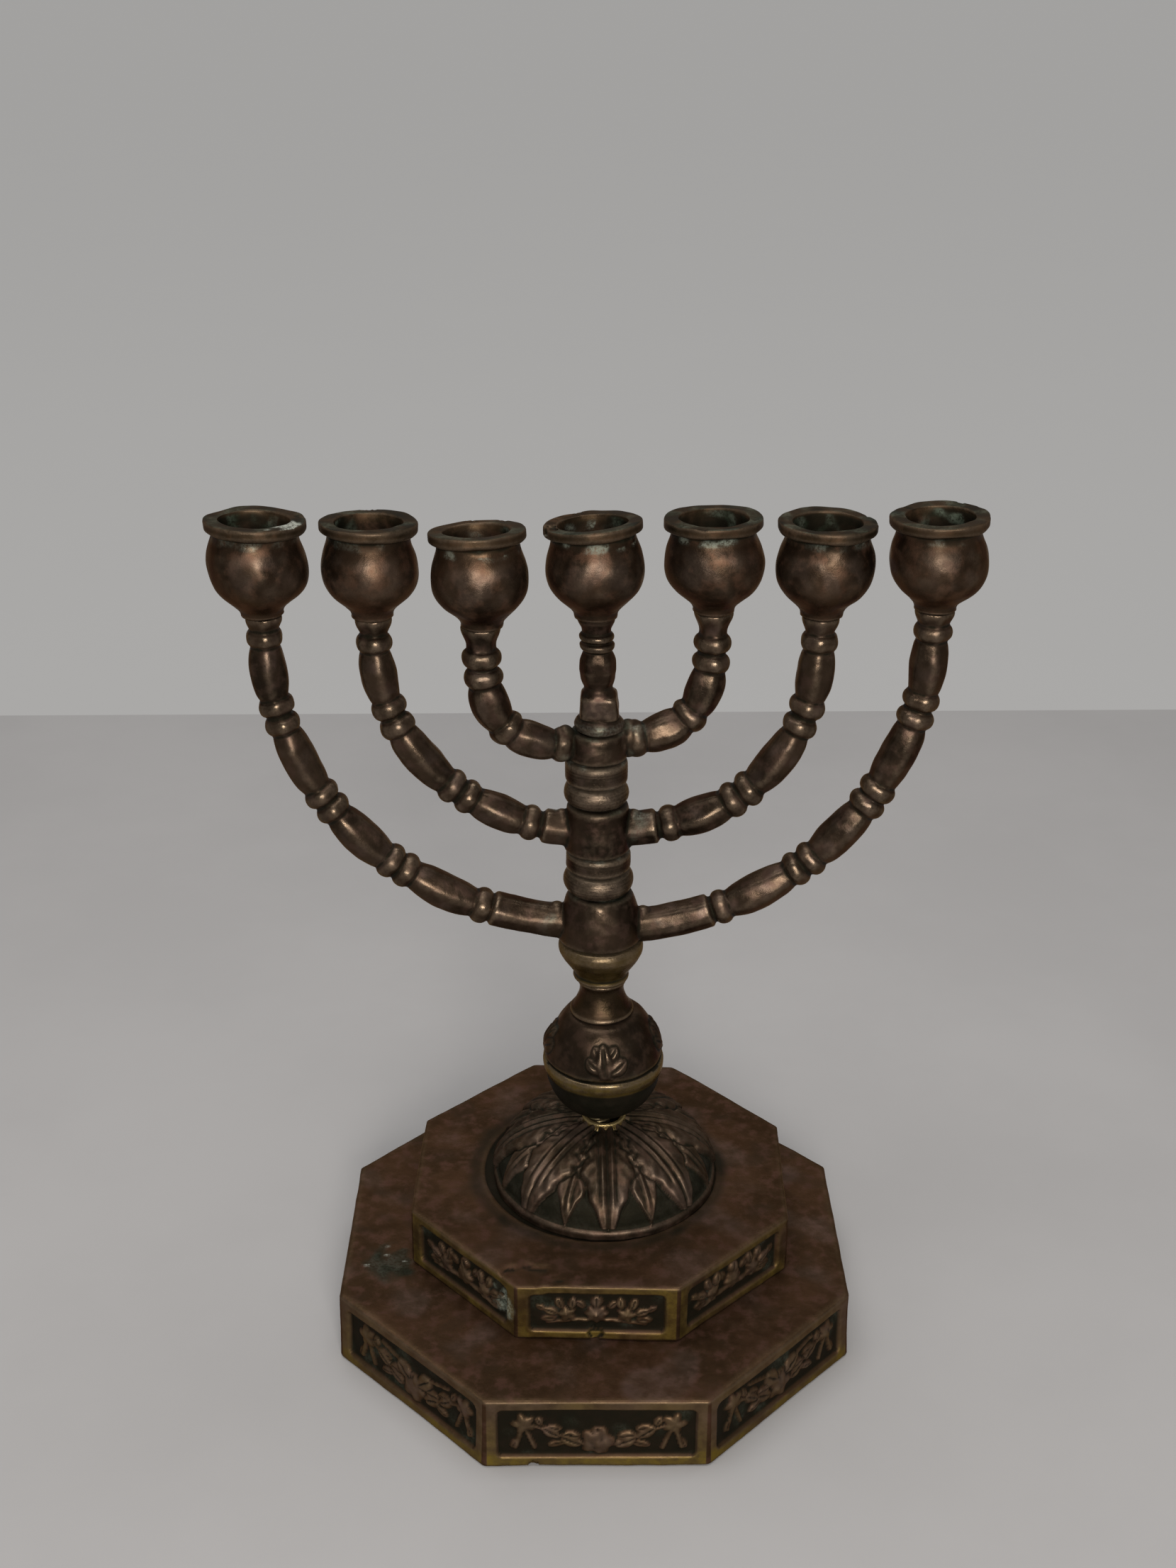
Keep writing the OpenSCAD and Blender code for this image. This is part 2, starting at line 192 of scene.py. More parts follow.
def mesh_from(name, points, faces):
    corners = np.concatenate([f.ravel() for f in faces])
    sizes = np.concatenate([np.full(len(f), f.shape[1]) for f in faces])
    mesh = bpy.data.meshes.new(name)
    mesh.vertices.add(len(points))
    mesh.vertices.foreach_set("co", points.ravel())
    mesh.loops.add(len(corners))
    mesh.loops.foreach_set("vertex_index", corners)
    mesh.polygons.add(len(sizes))
    mesh.polygons.foreach_set("loop_start", np.concatenate([[0], np.cumsum(sizes)[:-1]]))
    mesh.polygons.foreach_set("use_smooth", np.ones(len(sizes), bool))
    mesh.update(calc_edges=True)
    return mesh


def cast_as_one(shapes, voxel, rounds):
    """Overlapping closed surfaces melted into a single one, as a casting joins them."""
    mesh = mesh_from("melt", *joined(shapes))
    ob = bpy.data.objects.new("melt", mesh)
    bpy.context.scene.collection.objects.link(ob)
    remesh = ob.modifiers.new("melt", "REMESH")
    remesh.mode = "VOXEL"
    remesh.voxel_size = voxel
    graph = bpy.context.evaluated_depsgraph_get()
    melted = bpy.data.meshes.new_from_object(ob.evaluated_get(graph))
    points = np.empty(len(melted.vertices) * 3)
    melted.vertices.foreach_get("co", points)
    corners = np.empty(len(melted.loops), int)
    melted.loops.foreach_get("vertex_index", corners)
    points, faces = points.reshape(-1, 3), [corners.reshape(-1, 4)]
    bpy.data.objects.remove(ob)
    for used in (mesh, melted):
        bpy.data.meshes.remove(used)
    return outward(averaged(points, faces, rounds), faces)


# --- Materials: bronze under patina, with wear, verdigris and grime painted by each piece, and on some pieces painted highlights and painted shade as well ---

class Nodes:
    """A material's node graph, written as calls."""

    def __init__(self, name):
        self.material = bpy.data.materials.new(name)
        self.material.use_nodes = True
        self.tree = self.material.node_tree
        self.shader = self.tree.nodes["Principled BSDF"]

    def add(self, kind, inputs=(), **settings):
        node = self.tree.nodes.new(kind)
        for key, value in settings.items():
            setattr(node, key, value)
        for key, value in dict(inputs).items():
            self.feed(node.inputs[key], value)
        return node

    def feed(self, socket, value):
        if isinstance(value, bpy.types.NodeSocket):
            self.tree.links.new(value, socket)
        else:
            socket.default_value = value

    def noise(self, where, scale, detail=4, rough=0.6):
        inputs = {"Vector": where, "Scale": scale, "Detail": detail, "Roughness": rough}
        return self.add("ShaderNodeTexNoise", inputs).outputs["Fac"]

    def band(self, value, start, end, low=0.0, high=1.0):
        """The value's stretch from start to end, eased onto low to high."""
        inputs = {"Value": value, "From Min": start, "From Max": end, "To Min": low, "To Max": high}
        return self.add("ShaderNodeMapRange", inputs, interpolation_type="SMOOTHSTEP").outputs["Result"]

    def math(self, way, a, b):
        return self.add("ShaderNodeMath", {0: a, 1: b}, operation=way, use_clamp=True).outputs[0]

    def times(self, a, b):
        return self.math("MULTIPLY", a, b)

    def painted(self, layer):
        """The three channels that `piece` paints into a colour layer."""
        colour = self.add("ShaderNodeAttribute", attribute_name=layer).outputs["Color"]
        return self.add("ShaderNodeSeparateColor", {"Color": colour}).outputs

    def blend(self, share, a, b):
        """Colour a, with a share of colour b."""
        rgba = [c if isinstance(c, bpy.types.NodeSocket) else (*c, 1) for c in (a, b)]
        node = self.add("ShaderNodeMix", data_type="RGBA")
        for socket, value in zip((node.inputs["Factor"], node.inputs[6], node.inputs[7]), (share, *rgba)):
            self.feed(socket, value)
        return node.outputs[2]


def bronze(name, dark, brown, red, bright, gloss=0.42, grain=(1, 1, 1), grain_depth=0.35, pits=0.5):
    """Cast bronze: three tones of patina, and what the layers `finish_and_painted_light` and `tint` paint on it."""
    n = Nodes(name)
    where = n.add("ShaderNodeTexCoord").outputs["Object"]
    streaks = n.add("ShaderNodeMapping", {"Vector": where, "Scale": grain}).outputs["Vector"]
    cloud, blotch, speck = n.noise(where, 70), n.noise(where, 320, 6), n.noise(where, 1900, 5, 0.7)
    grit, lines = n.noise(where, 5200, 3), n.noise(streaks, 900, 5, 0.65)
    wear_and_highlight, verdigris, grime_and_shade = n.painted("finish_and_painted_light")
    brass, lilac, pale = n.painted("tint")

    colour = n.blend(n.band(cloud, 0.36, 0.62), dark, brown)
    colour = n.blend(n.band(blotch, 0.47, 0.66, 0, 0.85), colour, red)
    colour = n.blend(n.band(speck, 0.56, 0.75, 0, 0.4), colour, dark)
    # The lilac row also carries painted highlights: the dome's front leaves and the cups' bellies.
    lilac = n.times(lilac, n.band(blotch, 0.25, 0.7, 0.45, 1))
    colour = n.blend(lilac, colour, (0.105, 0.074, 0.062))
    brass = n.times(brass, n.band(blotch, 0.3, 0.65, 0.4, 1))
    colour = n.blend(brass, colour, (0.135, 0.094, 0.0185))
    # Wear, and on some pieces a painted highlight, lightens towards the bright colour.
    rubbed_and_highlight = n.times(wear_and_highlight, n.band(speck, 0.28, 0.6, 0.35, 1))
    colour = n.blend(rubbed_and_highlight, colour, bright)
    # Grime, and on some pieces painted shade, darkens towards near black.
    dirt = n.times(grime_and_shade, n.band(blotch, 0.2, 0.7, 1, 0.92))
    colour = n.blend(dirt, colour, (0.0046, 0.0046, 0.0030))
    crust = n.times(verdigris, n.band(speck, 0.36, 0.56, 0.15, 1))
    green = n.blend(n.band(blotch, 0.4, 0.62), (0.034, 0.050, 0.032), (0.130, 0.160, 0.120))
    colour = n.blend(crust, colour, green)
    flecks = n.times(pale, n.band(speck, 0.42, 0.58, 0.2, 1))
    colour = n.blend(flecks, colour, (0.34, 0.35, 0.30))

    rough = n.band(blotch, 0.3, 0.7, gloss - 0.09, gloss + 0.13)
    dull = n.math("MAXIMUM", crust, n.times(grime_and_shade, 0.7))
    dull = n.math("MAXIMUM", dull, pale)
    rough = n.math("ADD", rough, n.times(dull, 0.4))
    rough = n.math("SUBTRACT", rough, n.times(rubbed_and_highlight, 0.08))
    metal = n.math("SUBTRACT", 0.80, n.times(dull, 0.8))

    height = n.math("ADD", n.times(speck, 0.45 * pits), n.times(grit, 0.12 * pits))
    height = n.math("ADD", height, n.times(lines, grain_depth))
    bump = n.add("ShaderNodeBump", {"Height": height, "Strength": 0.55, "Distance": 0.00022})
    n.feed(n.shader.inputs["Base Color"], colour)
    n.feed(n.shader.inputs["Roughness"], rough)
    n.feed(n.shader.inputs["Metallic"], metal)
    n.feed(n.shader.inputs["Normal"], bump.outputs["Normal"])
    n.shader.inputs["Specular IOR Level"].default_value = 0.14
    n.shader.inputs["Specular Tint"].default_value = (0.62, 0.44, 0.28, 1)
    return n.material


TIER = bronze("tier_bronze", (0.034, 0.0190, 0.0100), (0.050, 0.0262, 0.0142), (0.062, 0.0310, 0.0215),
              (0.110, 0.075, 0.040), gloss=0.50)
DOME = bronze("dome_bronze", (0.015, 0.0105, 0.0068), (0.041, 0.0255, 0.0158), (0.060, 0.0335, 0.0235),
              (0.110, 0.080, 0.058), gloss=0.44)
KNOP = bronze("knop_bronze", (0.010, 0.0068, 0.0040), (0.028, 0.0185, 0.0110), (0.040, 0.0240, 0.0155),
              (0.150, 0.110, 0.075), gloss=0.30)
STEM = bronze("stem_bronze", (0.011, 0.0075, 0.0042), (0.032, 0.0210, 0.0115), (0.044, 0.0270, 0.0165),
              (0.180, 0.130, 0.085), gloss=0.26, grain=(1, 1, 9), grain_depth=0.4)
RING = bronze("ring_bronze", (0.010, 0.0070, 0.0048), (0.030, 0.0205, 0.0135), (0.040, 0.0260, 0.0185),
              (0.200, 0.150, 0.105), gloss=0.24, grain=(1, 1, 12), grain_depth=0.45)
ARM = bronze("arm_bronze", (0.013, 0.0090, 0.0062), (0.040, 0.0260, 0.0170), (0.052, 0.0310, 0.0230),
             (0.170, 0.125, 0.085), gloss=0.32, grain=(2, 2, 1), grain_depth=0.3)
CUP = bronze("cup_bronze", (0.016, 0.0105, 0.0068), (0.044, 0.0265, 0.0160), (0.064, 0.0340, 0.0210),
             (0.150, 0.108, 0.075), gloss=0.36)
BRASS = bronze("collar_brass", (0.070, 0.046, 0.017), (0.170, 0.115, 0.038), (0.130, 0.080, 0.030),
               (0.400, 0.310, 0.150), gloss=0.30, grain=(1, 1, 12), grain_depth=0.5)
SCREW = bronze("screw_brass", (0.030, 0.023, 0.012), (0.085, 0.064, 0.032), (0.070, 0.046, 0.023),
               (0.240, 0.195, 0.110), gloss=0.38)


# --- Pieces ---

# Rows of paint. On some pieces the wear row also holds painted highlights, and the grime row painted shade.
WEAR_AND_HIGHLIGHT, VERDIGRIS, GRIME_AND_SHADE, BRASSY, LILAC, PALE = range(6)
# How far a point stands out from its neighbours, in millimetres, where it counts as a full ridge
WEAR_BEND = 0.045


def piece(name, shape, body, node, material, marks=None, rounds=12, worn=0.5):
    """Makes the visible piece that stands for a CAD node. Ridges are worn bright and hollows hold
    grime; marks(points, facing) may return more of WEAR_AND_HIGHLIGHT to PALE."""
    points, faces = shape
    facing = normals(points, faces)
    bend = np.einsum("ij,ij->i", points - averaged(points, faces, rounds), facing)
    paint = np.zeros((6, len(points)))
    paint[0] = worn * np.clip(bend / WEAR_BEND - 0.35, 0, 1)
    paint[2] = np.clip(-bend / WEAR_BEND - 0.2, 0, 1)
    if marks:
        for row, more in marks(points, facing).items():
            paint[row] = np.clip(paint[row] + more, 0, 1)
    mesh = mesh_from(name, points * MM, faces)
    for layer, rows in (("finish_and_painted_light", paint[:3]), ("tint", paint[3:])):
        rgba = np.vstack([rows, np.ones(len(points))]).T
        colours = mesh.color_attributes.new(layer, "FLOAT_COLOR", "POINT")
        colours.data.foreach_set("color", rgba.ravel())
    mesh.materials.append(material)
    ob = bpy.data.objects.new(name, mesh)
    bpy.context.scene.collection.objects.link(ob)
    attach(ob, body)
    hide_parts(node)


# --- Raised ornament on the tiers' panels: heights over places (s, v) along and up a side ---

LEAF_SPREAD = 1.65


def leaf(s, v, start, aim, length, width, height):
    """A pointed leaf from `start`, running towards `aim` degrees, with a sunk midrib."""
    c, n = math.cos(math.radians(aim)), math.sin(math.radians(aim))
    a = ((s - start[0]) * c + (v - start[1]) * n) / length
    b = ((v - start[1]) * c - (s - start[0]) * n) / (width / 2 * LEAF_SPREAD)
    span = np.clip(4 * a * (1 - a), 0, 1) ** 0.7 + 1e-6
    rise = np.sqrt(np.clip(1 - (b / span) ** 2, 0, 1)) * (a > 0) * (a < 1)
    return height * rise * (1 - 0.4 * np.exp(-(b / 0.16) ** 2))


def bud(s, v, at, r, height, lobes=0, deep=0.22):
    """A round boss, scalloped into lobes."""
    x, y = s - at[0], v - at[1]
    edge = r * (1 + deep * np.cos(lobes * np.arctan2(y, x)) * (lobes > 0))
    return height * np.sqrt(np.clip(1 - (x * x + y * y) / edge ** 2, 0, 1))


def stalk(s, v, a, b, width, height):
    """A thin raised stroke between two places."""
    ab = np.array(b, float) - np.array(a, float)
    t = np.clip(((s - a[0]) * ab[0] + (v - a[1]) * ab[1]) / (ab @ ab), 0, 1)
    off = np.hypot(s - a[0] - t * ab[0], v - a[1] - t * ab[1])
    return height * np.sqrt(np.clip(1 - (off / (0.75 * width)) ** 2, 0, 1))


def lower_ornament(s, v, side):
    """A blossom between two leafy stalks that rise to a small flower with ribbons."""
    shapes = [bud(s, v, (0.3, -2.1), 3.2, 0.95, 5, 0.14), leaf(s, v, (0.3, -1.2), 90, 2.6, 1.9, 0.7)]
    tall = side % 2
    leaves = [((3.0, -3.0), 24, 4.4, 2.0, 0.75), ((3.4, -1.0), 8, 3.6, 1.5, 0.7),
              ((7.2, -1.2), 35, 4.2, 1.7, 0.8), ((6.8, 0.6), 12, 3.4, 1.2, 0.65),
              ((6.0, -2.2), -14, 3.8, 1.2, 0.55 + 0.2 * tall), ((10.6, 1.6), 62, 2.2, 1.1, 0.7),
              ((15.2, -1.4), -62, 2.6, 1.0, 0.55)]
    stalks = [((3.0, -2.8), (12.6, 1.6), 0.55, 0.55), ((13.7, 0.9), (12.0, -3.6), 0.7, 0.6),
              ((14.4, 0.8), (15.6, -3.4), 0.75, 0.6)]
    if tall:
        leaves.append(((1.2, -0.6), 40, 4.6, 2.3, 0.95))
        stalks.append(((4.0, 2.0), (9.5, 3.4), 0.6, 0.55))
    for way in (-1, 1):
        x = s * way - 0.5 * way
        shapes += [leaf(x, v, *one) for one in leaves] + [stalk(x, v, *one) for one in stalks]
        shapes.append(bud(x, v, (14.1, 2.0), 2.2, 0.85, 5, 0.2))
    return np.max(shapes, axis=0)


def upper_ornament(s, v, side):
    """A disc flower between two blossoms, with upright leaves above them."""
    shapes = [bud(s, v, (0, -0.4), 2.2, 0.95, 8, 0.08), bud(s, v, (0, -0.3), 0.8, 1.15),
              leaf(s, v, (0, 1.2), 90, 2.7, 1.7, 0.85)]
    leaves = [((4.9, 0.7), 100, 2.9, 1.2, 0.8), ((6.6, 0.7), 70, 2.9, 1.2, 0.8),
              ((7.4, -0.4), 22, 3.0, 1.3, 0.75), ((7.6, -1.4), -8, 3.2, 1.2, 0.6),
              ((2.3, 0.9), 50, 2.3, 1.1, 0.65), ((9.6, 0.3), 30, 2.4, 1.0, 0.6)]
    stalks = [((1.6, -1.8), (4.6, -1.9), 0.7, 0.6), ((5.2, -2.2), (9.4, -2.6), 0.6, 0.45 + 0.2 * (side % 2))]
    for x in (-s, s):
        shapes += [leaf(x, v, *one) for one in leaves] + [stalk(x, v, *one) for one in stalks]
        shapes += [bud(x, v, (5.7, -0.5), 1.75, 0.85, 5, 0.18), bud(x, v, (5.7, -0.4), 0.6, 1.0)]
    return np.max(shapes, axis=0)


# --- Base ---

def octagon(apothem, corner, per_side, per_corner):
    """Rounded octagon with a side to the front: points, outward directions, place along the side, side."""
    half = (apothem - corner) * math.tan(TURN / 16)
    spots, ways, places, sides = [], [], [], []
    for side in range(8):
        facing = -TURN / 4 + side * TURN / 8
        out = np.array([math.cos(facing), math.sin(facing)])
        along = np.array([-out[1], out[0]])
        s = np.linspace(-half, half, per_side)
        bend = facing + TURN / 8 * np.arange(1, per_corner + 1) / (per_corner + 1)
        around = np.stack([np.cos(bend), np.sin(bend)], 1)
        spots.append(out * apothem + s[:, None] * along)
        spots.append(out * (apothem - corner) + half * along + corner * around)
        ways += [np.tile(out, (per_side, 1)), around]
        places += [s, np.full(per_corner, half * 2)]
        sides += [np.full(per_side + per_corner, side)]
    return np.vstack(spots), np.vstack(ways), np.concatenate(places), np.concatenate(sides)


PANEL_DEPTH = 0.9
PANEL_EDGE = 0.28
TIER_WALL = 3.0
TIER_HOLE = 2.8


def panel_edge(s, v, half_w, half_h, corner=1.0):
    """Distance outside the edge of a panel's rounded rectangle; negative within it."""
    qx, qy = np.abs(s) - half_w + corner, np.abs(v) - half_h + corner
    return np.hypot(np.maximum(qx, 0), np.maximum(qy, 0)) + np.minimum(np.maximum(qx, qy), 0) - corner


def tier(node, apothem, panel, ornament, per_side, steps, at, yaw, seat=None, taper=0):
    """One hollow tier, open below: a closed section swept round the octagon. Returns it with the
    height of its ornament and the edge distance of its panels, for painting."""
    base = low_z(node)
    height = top_z(node) - base
    spots, ways, place, side = octagon(apothem, 1.3, per_side, 5)
    reach = apothem - TIER_HOLE
    under = height - TIER_WALL
    section = [(0, 0), (0, height), (reach, height), (reach, under), (TIER_WALL, under), (TIER_WALL, 0)]
    spacing = [*steps, 1.5, 6, 3, 1.2]
    if seat:
        rim, deep = apothem - seat, 0.9
        section[2:3] = [(rim, height), (rim + 0.3, height - deep), (reach, height - deep)]
        spacing[2:2] = [0.3, 4]
    loop = path(section, spacing, closed=True)
    inward, z = loop[:, :1], loop[:, 1:]
    circle = spots / np.linalg.norm(spots, axis=1, keepdims=True) * apothem
    share = np.clip(inward / (apothem - (seat or TIER_HOLE)), 0, 1)[:, :, None] ** 2
    flat = (1 - inward[:, :, None] / apothem) * (spots * (1 - share) + circle * share)
    s = np.broadcast_to(place, (len(loop), len(place)))
    v = np.broadcast_to(z - height / 2, s.shape)
    edge = panel_edge(s, v, *panel)
    sunk = ease(PANEL_EDGE, -PANEL_EDGE, edge)
    raised = np.zeros(s.shape)
    wobble = np.random.default_rng(len(node))
    rows = np.where(inward[:, 0] < 0.3)[0]
    for k in range(8):
        cols = np.where((side == k) & (np.abs(place) < panel[0]))[0]
        here = np.ix_(rows, cols)
        shift = wobble.uniform(-0.3, 0.3, 2)
        raised[here] = ornament(s[here] + shift[0], v[here] + 0.5 * shift[1], k)
        panel_at = np.stack([s[here], v[here], np.full(s[here].shape, 9.0 * k)], -1).reshape(-1, 3)
        raised[here] *= 1 + 0.12 * lumps(panel_at, 1.1, 70).reshape(s[here].shape)
    raised *= ease(0, -0.5, edge)
    outer = (inward < 0.3) * 1.0
    push = outer * (raised * 0.95 - PANEL_DEPTH * sunk + taper * (1 - z / height) ** 2)
    flat = flat + ways * push[:, :, None]
    away = 1 - ease(0.6 * reach, reach, inward)
    x, y = spin(flat[..., 0], flat[..., 1], yaw)
    rings = np.stack([x + at[0] * away, y + at[1] * away, np.broadcast_to(z + base, x.shape)], -1)
    edge = np.where(outer > 0, edge, 9.0)
    return skin(rings, closed=True), raised.ravel(), edge.ravel()


def tier_marks(raised, edge, frame_brass, frame_lilac, extra):
    """Painting for a tier: dark grounds, rubbed ornament, brassy or lilac frames."""
    def marks(points, facing):
        ground = ease(0.1, -0.5, edge) * (1 - ease(0.1, 0.45, raised))
        relief = ease(0.3, 0.8, raised)
        upright = ease(0.7, 0.3, np.abs(facing[:, 2]))
        band = upright * ease(-0.2, 0.3, edge) * (edge < 8)
        front = ease(-0.3, -0.95, facing[:, 1])
        patchy = 0.65 + 0.35 * lumps(points, 6, 31)
        brass = band * frame_brass(points, front) * patchy
        rows = {
            WEAR_AND_HIGHLIGHT: 0.18 * relief - 0.3 * ground,
            VERDIGRIS: 0.12 * ground * ease(0.2, 1.2, lumps(points, 4, 33)),
            GRIME_AND_SHADE: ground,
            BRASSY: brass + 0.3 * relief * (0.5 + 0.5 * lumps(points, 5, 32)),
            LILAC: band * frame_lilac(points, front) + 0.6 * relief,
        }
        for row, more in extra(points, facing).items():
            rows[row] = rows.get(row, 0) + more
        return rows
    return marks


def spot(points, at, size, power=1.0):
    """1 at a place and 0 a distance `size` away from it, with a ragged edge."""
    off = np.linalg.norm(points - np.array(at), axis=1) / size
    return ease(1.0, 0.55, off + 0.22 * lumps(points, 0.35 * size, 77)) * power


def tier_top(points, facing, top, seed):
    """A tier's flat top, the rounded edge round it, and the mottling and the dirt on the top."""
    flat = ease(0.7, 0.95, facing[:, 2])
    edging = ease(top - 0.4, top + 0.2, points[:, 2]) * ease(0.95, 0.5, facing[:, 2])
    mottle = flat * ease(0.3, 1.3, lumps(points, 7, seed))
    return flat, edging, mottle, 0.3 * ease(0.4, 1.4, lumps(points, 4, seed + 1))


def build_base():
    lower, upper = "base_lower_tier", "base_upper_tier"
    height = top_z(lower)
    (points, faces), raised, edge = tier(
        lower, 50.8, (18.6, 5.3), lower_ornament, 136, (0.29, 0.75), (-0.8, -3.0), -1.0, taper=0.5)
    nick = spot(points, (-13.5, -54.0, 0.3), 1.0, 0.4)
    points = points + np.outer(nick, (0, 1, 0.5))
    shape = lumpy((points, faces), (16, 0.10, 1), (4, 0.035, 2), (1.3, 0.012, 3))

    def stains(points, facing):
        flat, edging, mottle, dirt = tier_top(points, facing, height - 0.6, 42)
        stain = flat * spot(points, (-42.5, -14, height), 6.0)
        # The rounded top edge is painted lighter towards the front only: a painted highlight.
        return {WEAR_AND_HIGHLIGHT: 0.3 * edging * ease(10, -40, points[:, 1]), GRIME_AND_SHADE: 0.8 * stain + flat * dirt,
                VERDIGRIS: 0.12 * stain, PALE: 0.7 * stain * ease(1.5, 1.8, lumps(points, 1.3, 41)),
                LILAC: 0.3 * mottle + 0.25 * edging}

    marks = tier_marks(
        raised, edge, lambda p, front: 0.5 * front + (0.5 + 0.5 * front) * ease(4.0, 1.5, p[:, 2]),
        lambda p, front: 1.0 - 0.5 * front, stains)
    piece("lower_tier_casting", shape, "stand", lower, TIER, marks, rounds=6, worn=0.22)

    floor, crest = low_z(upper), top_z(upper)
    (points, faces), raised, edge = tier(
        upper, 37.9, (13.0, 4.35), upper_ornament, 112, (0.28, 0.6), (0.6, 0.7), -2.76, seat=24.0)
    notch = spot(points, (-1.5, -37.2, floor + 1.4), 1.7)
    dip = spot(points, (-16, -35, crest), 7, 0.35)
    points = points + (np.outer(notch, (0, 0.7, -0.3)) - np.outer(dip, (0, 0, 1)))
    shape = lumpy((points, faces), (14, 0.09, 5), (4, 0.035, 6), (1.3, 0.012, 7))

    def crusts(points, facing):
        flat, edging, mottle, dirt = tier_top(points, facing, crest - 0.6, 44)
        seam = np.abs(np.hypot(points[:, 0], points[:, 1]) - 25.2)
        crust = spot(points, (-17.5, -32, floor + 6), 4.2) * ease(0.8, 0.4, facing[:, 2])
        # The rounded top edge is painted lighter towards the front only: a painted highlight.
        return {WEAR_AND_HIGHLIGHT: 0.3 * ease(10, -30, points[:, 1]) * edging,
                GRIME_AND_SHADE: flat * (0.7 * ease(2.6, 0.3, seam) + dirt),
                VERDIGRIS: 0.55 * crust, PALE: 0.25 * crust, LILAC: 0.25 * mottle + 0.2 * edging}

    marks = tier_marks(
        raised, edge, lambda p, front: 0.85 + 0.1 * front, lambda p, front: 0.1 + 0.2 * (1 - front), crusts)
    piece("upper_tier_casting", shape, "stand", upper, TIER, marks, rounds=6, worn=0.22)


# --- Dome of leaves ---

def build_dome():
    foot, crown = low_z("leaf_dome"), top_z("leaf_dome")
    rise, r_foot, r_top, hole = crown - foot, 22.9, 5.1, 3.2
    arc = [(r_top + (r_foot - 0.9 - r_top) * math.cos(a), 2.7 + (rise - 2.9) * math.sin(a) ** 1.12)
           for a in np.linspace(0, TURN / 4, 12)]
    outside = [(19.4, 0), (r_foot - 0.6, 0), (r_foot, 0.5), (r_foot, 1.9), (r_foot - 0.35, 2.4), *arc,
               (r_top - 0.6, rise), (hole, rise)]
    section = outside + [(hole, rise - 3), (10, rise - 4), (19.2, 1.2)]
    spacing = [1.0, 0.4] + [0.3] * (len(outside) - 3) + [1, 1.5, 3, 3]
    loop = path(section, spacing, closed=True, rounds=1)
    cols = 608
    rings = turned(loop, cols)
    r = loop[:, 0]
    down = (r_foot - 0.6 - r) / (r_foot - 0.6 - r_top)
    on_top = (loop[:, 1] > 2.45) & (np.arange(len(loop)) < len(loop) * 0.86)
    d = np.where(on_top, 1 - np.clip(down, 0, 1), -1)[:, None]
    angle = angles(cols) + TURN / 4
    grow = np.clip(d, 0, 1)
    heights, moats = [], []
    wobble = np.random.default_rng(12)
    for large, offset, first, widest, half, lift in (
            (True, 0.0, -0.02, 0.60, 5.5, 1.2), (False, 0.5, 0.22, 0.66, 3.9, 0.72)):
        for k in range(8):
            here = (angle - (k + offset) * TURN / 8 + math.pi) % TURN - math.pi
            across = r[:, None] * here
            t = (grow - first) / (0.985 - first)
            peak = (widest - first) / (0.985 - first)
            swell = np.where(t < peak, np.sin(np.clip(t / peak, 0, 1) * TURN / 4) ** 0.8,
                             np.clip((1 - t) / (1 - peak), 0, 1) ** 0.6)
            width = 1.3 * large + (half - 1.3 * large) * swell
            ragged = 0.06 * np.sin(grow * 30 + wobble.uniform(0, TURN))
            width = width * (1 + ragged + 0.025 * np.sin(grow * 61 + k))
            width = np.where((t > 0) & (t < 1), width, 1e-3)
            share = np.abs(across) / width
            body = np.clip(1 - share ** 6, 0, 1) ** 0.5 * (d >= 0)
            spine = 0.95 * large
            off = np.abs(across)
            ribs = 0.30 * np.exp(-((off - spine) / 0.33) ** 2) * ease(1.0, 0.8, t)
            groove = -0.42 * large * np.exp(-(off / 0.3) ** 2)
            groove = groove - 0.20 * np.exp(-((off - spine - 0.75) / 0.28) ** 2) * ease(0.95, 0.7, t)
            veins = 0.09 * np.sin(grow * 40 - off * 2.1 + k) * ease(0.25, 0.6, share)
            curl = 0.16 * np.exp(-((share - 0.78) / 0.2) ** 2)
            if large:
                moat = np.exp(-((share - 1.06) / 0.08) ** 2)
                moats.append(moat * ease(0.1, 0.35, t) * ease(1.0, 0.9, t) * (d >= 0))
            heights.append(np.where(body > 0, body * lift + (ribs + groove + veins + curl) * body, 0))
    raised = np.max(heights, axis=0)
    for moat in moats:
        raised = raised - 0.45 * moat
    leafy = ease(0.0, 0.2, raised).ravel()
    out = np.gradient(loop, axis=0)
    out = np.stack([out[:, 1], -out[:, 0]], 1)
    out /= np.maximum(np.linalg.norm(out, axis=1, keepdims=True), 1e-9)
    ways = turned(out, cols)
    rings = rings + ways * (raised * 0.92)[:, :, None]
    rings = rings + np.array([1.4, 0, foot])
    shape = lumpy(skin(rings, closed=True), (9, 0.08, 8), (2.4, 0.04, 9), (1.0, 0.018, 10))
    high = np.broadcast_to(grow, raised.shape).ravel()
    shown = np.broadcast_to(d >= 0, raised.shape).ravel()

    def marks(points, facing):
        ground = shown * (1 - leafy)
        off = np.hypot(points[:, 0] - 1.4, points[:, 1])
        lip = ease(1.0, 0.2, np.abs(points[:, 2] - foot - 2.1)) * ease(21.5, 22.3, off)
        front = ease(10, -14, points[:, 1])
        # The leaves are painted lighter, lilac and a touch brassy on the front half, and the back half darker
        # and a little greener: painted highlight and painted shade.
        return {WEAR_AND_HIGHLIGHT: 0.08 * leafy * shown * front + 0.25 * lip,
                VERDIGRIS: 0.03 * ground + 0.05 * (1 - front),
                GRIME_AND_SHADE: ground + 0.35 * ease(0.35, 0.0, high) * shown + 0.2 * (1 - front),
                BRASSY: 0.03 * leafy * front,
                LILAC: 0.40 * leafy * front * ease(-0.2, 1.0, lumps(points, 6, 47))}

    piece("leaf_dome_casting", shape, "stand", "leaf_dome", DOME, marks, rounds=8, worn=0.22)


# --- Turned pieces of the stem ---

ROD_HOLE = 3.3


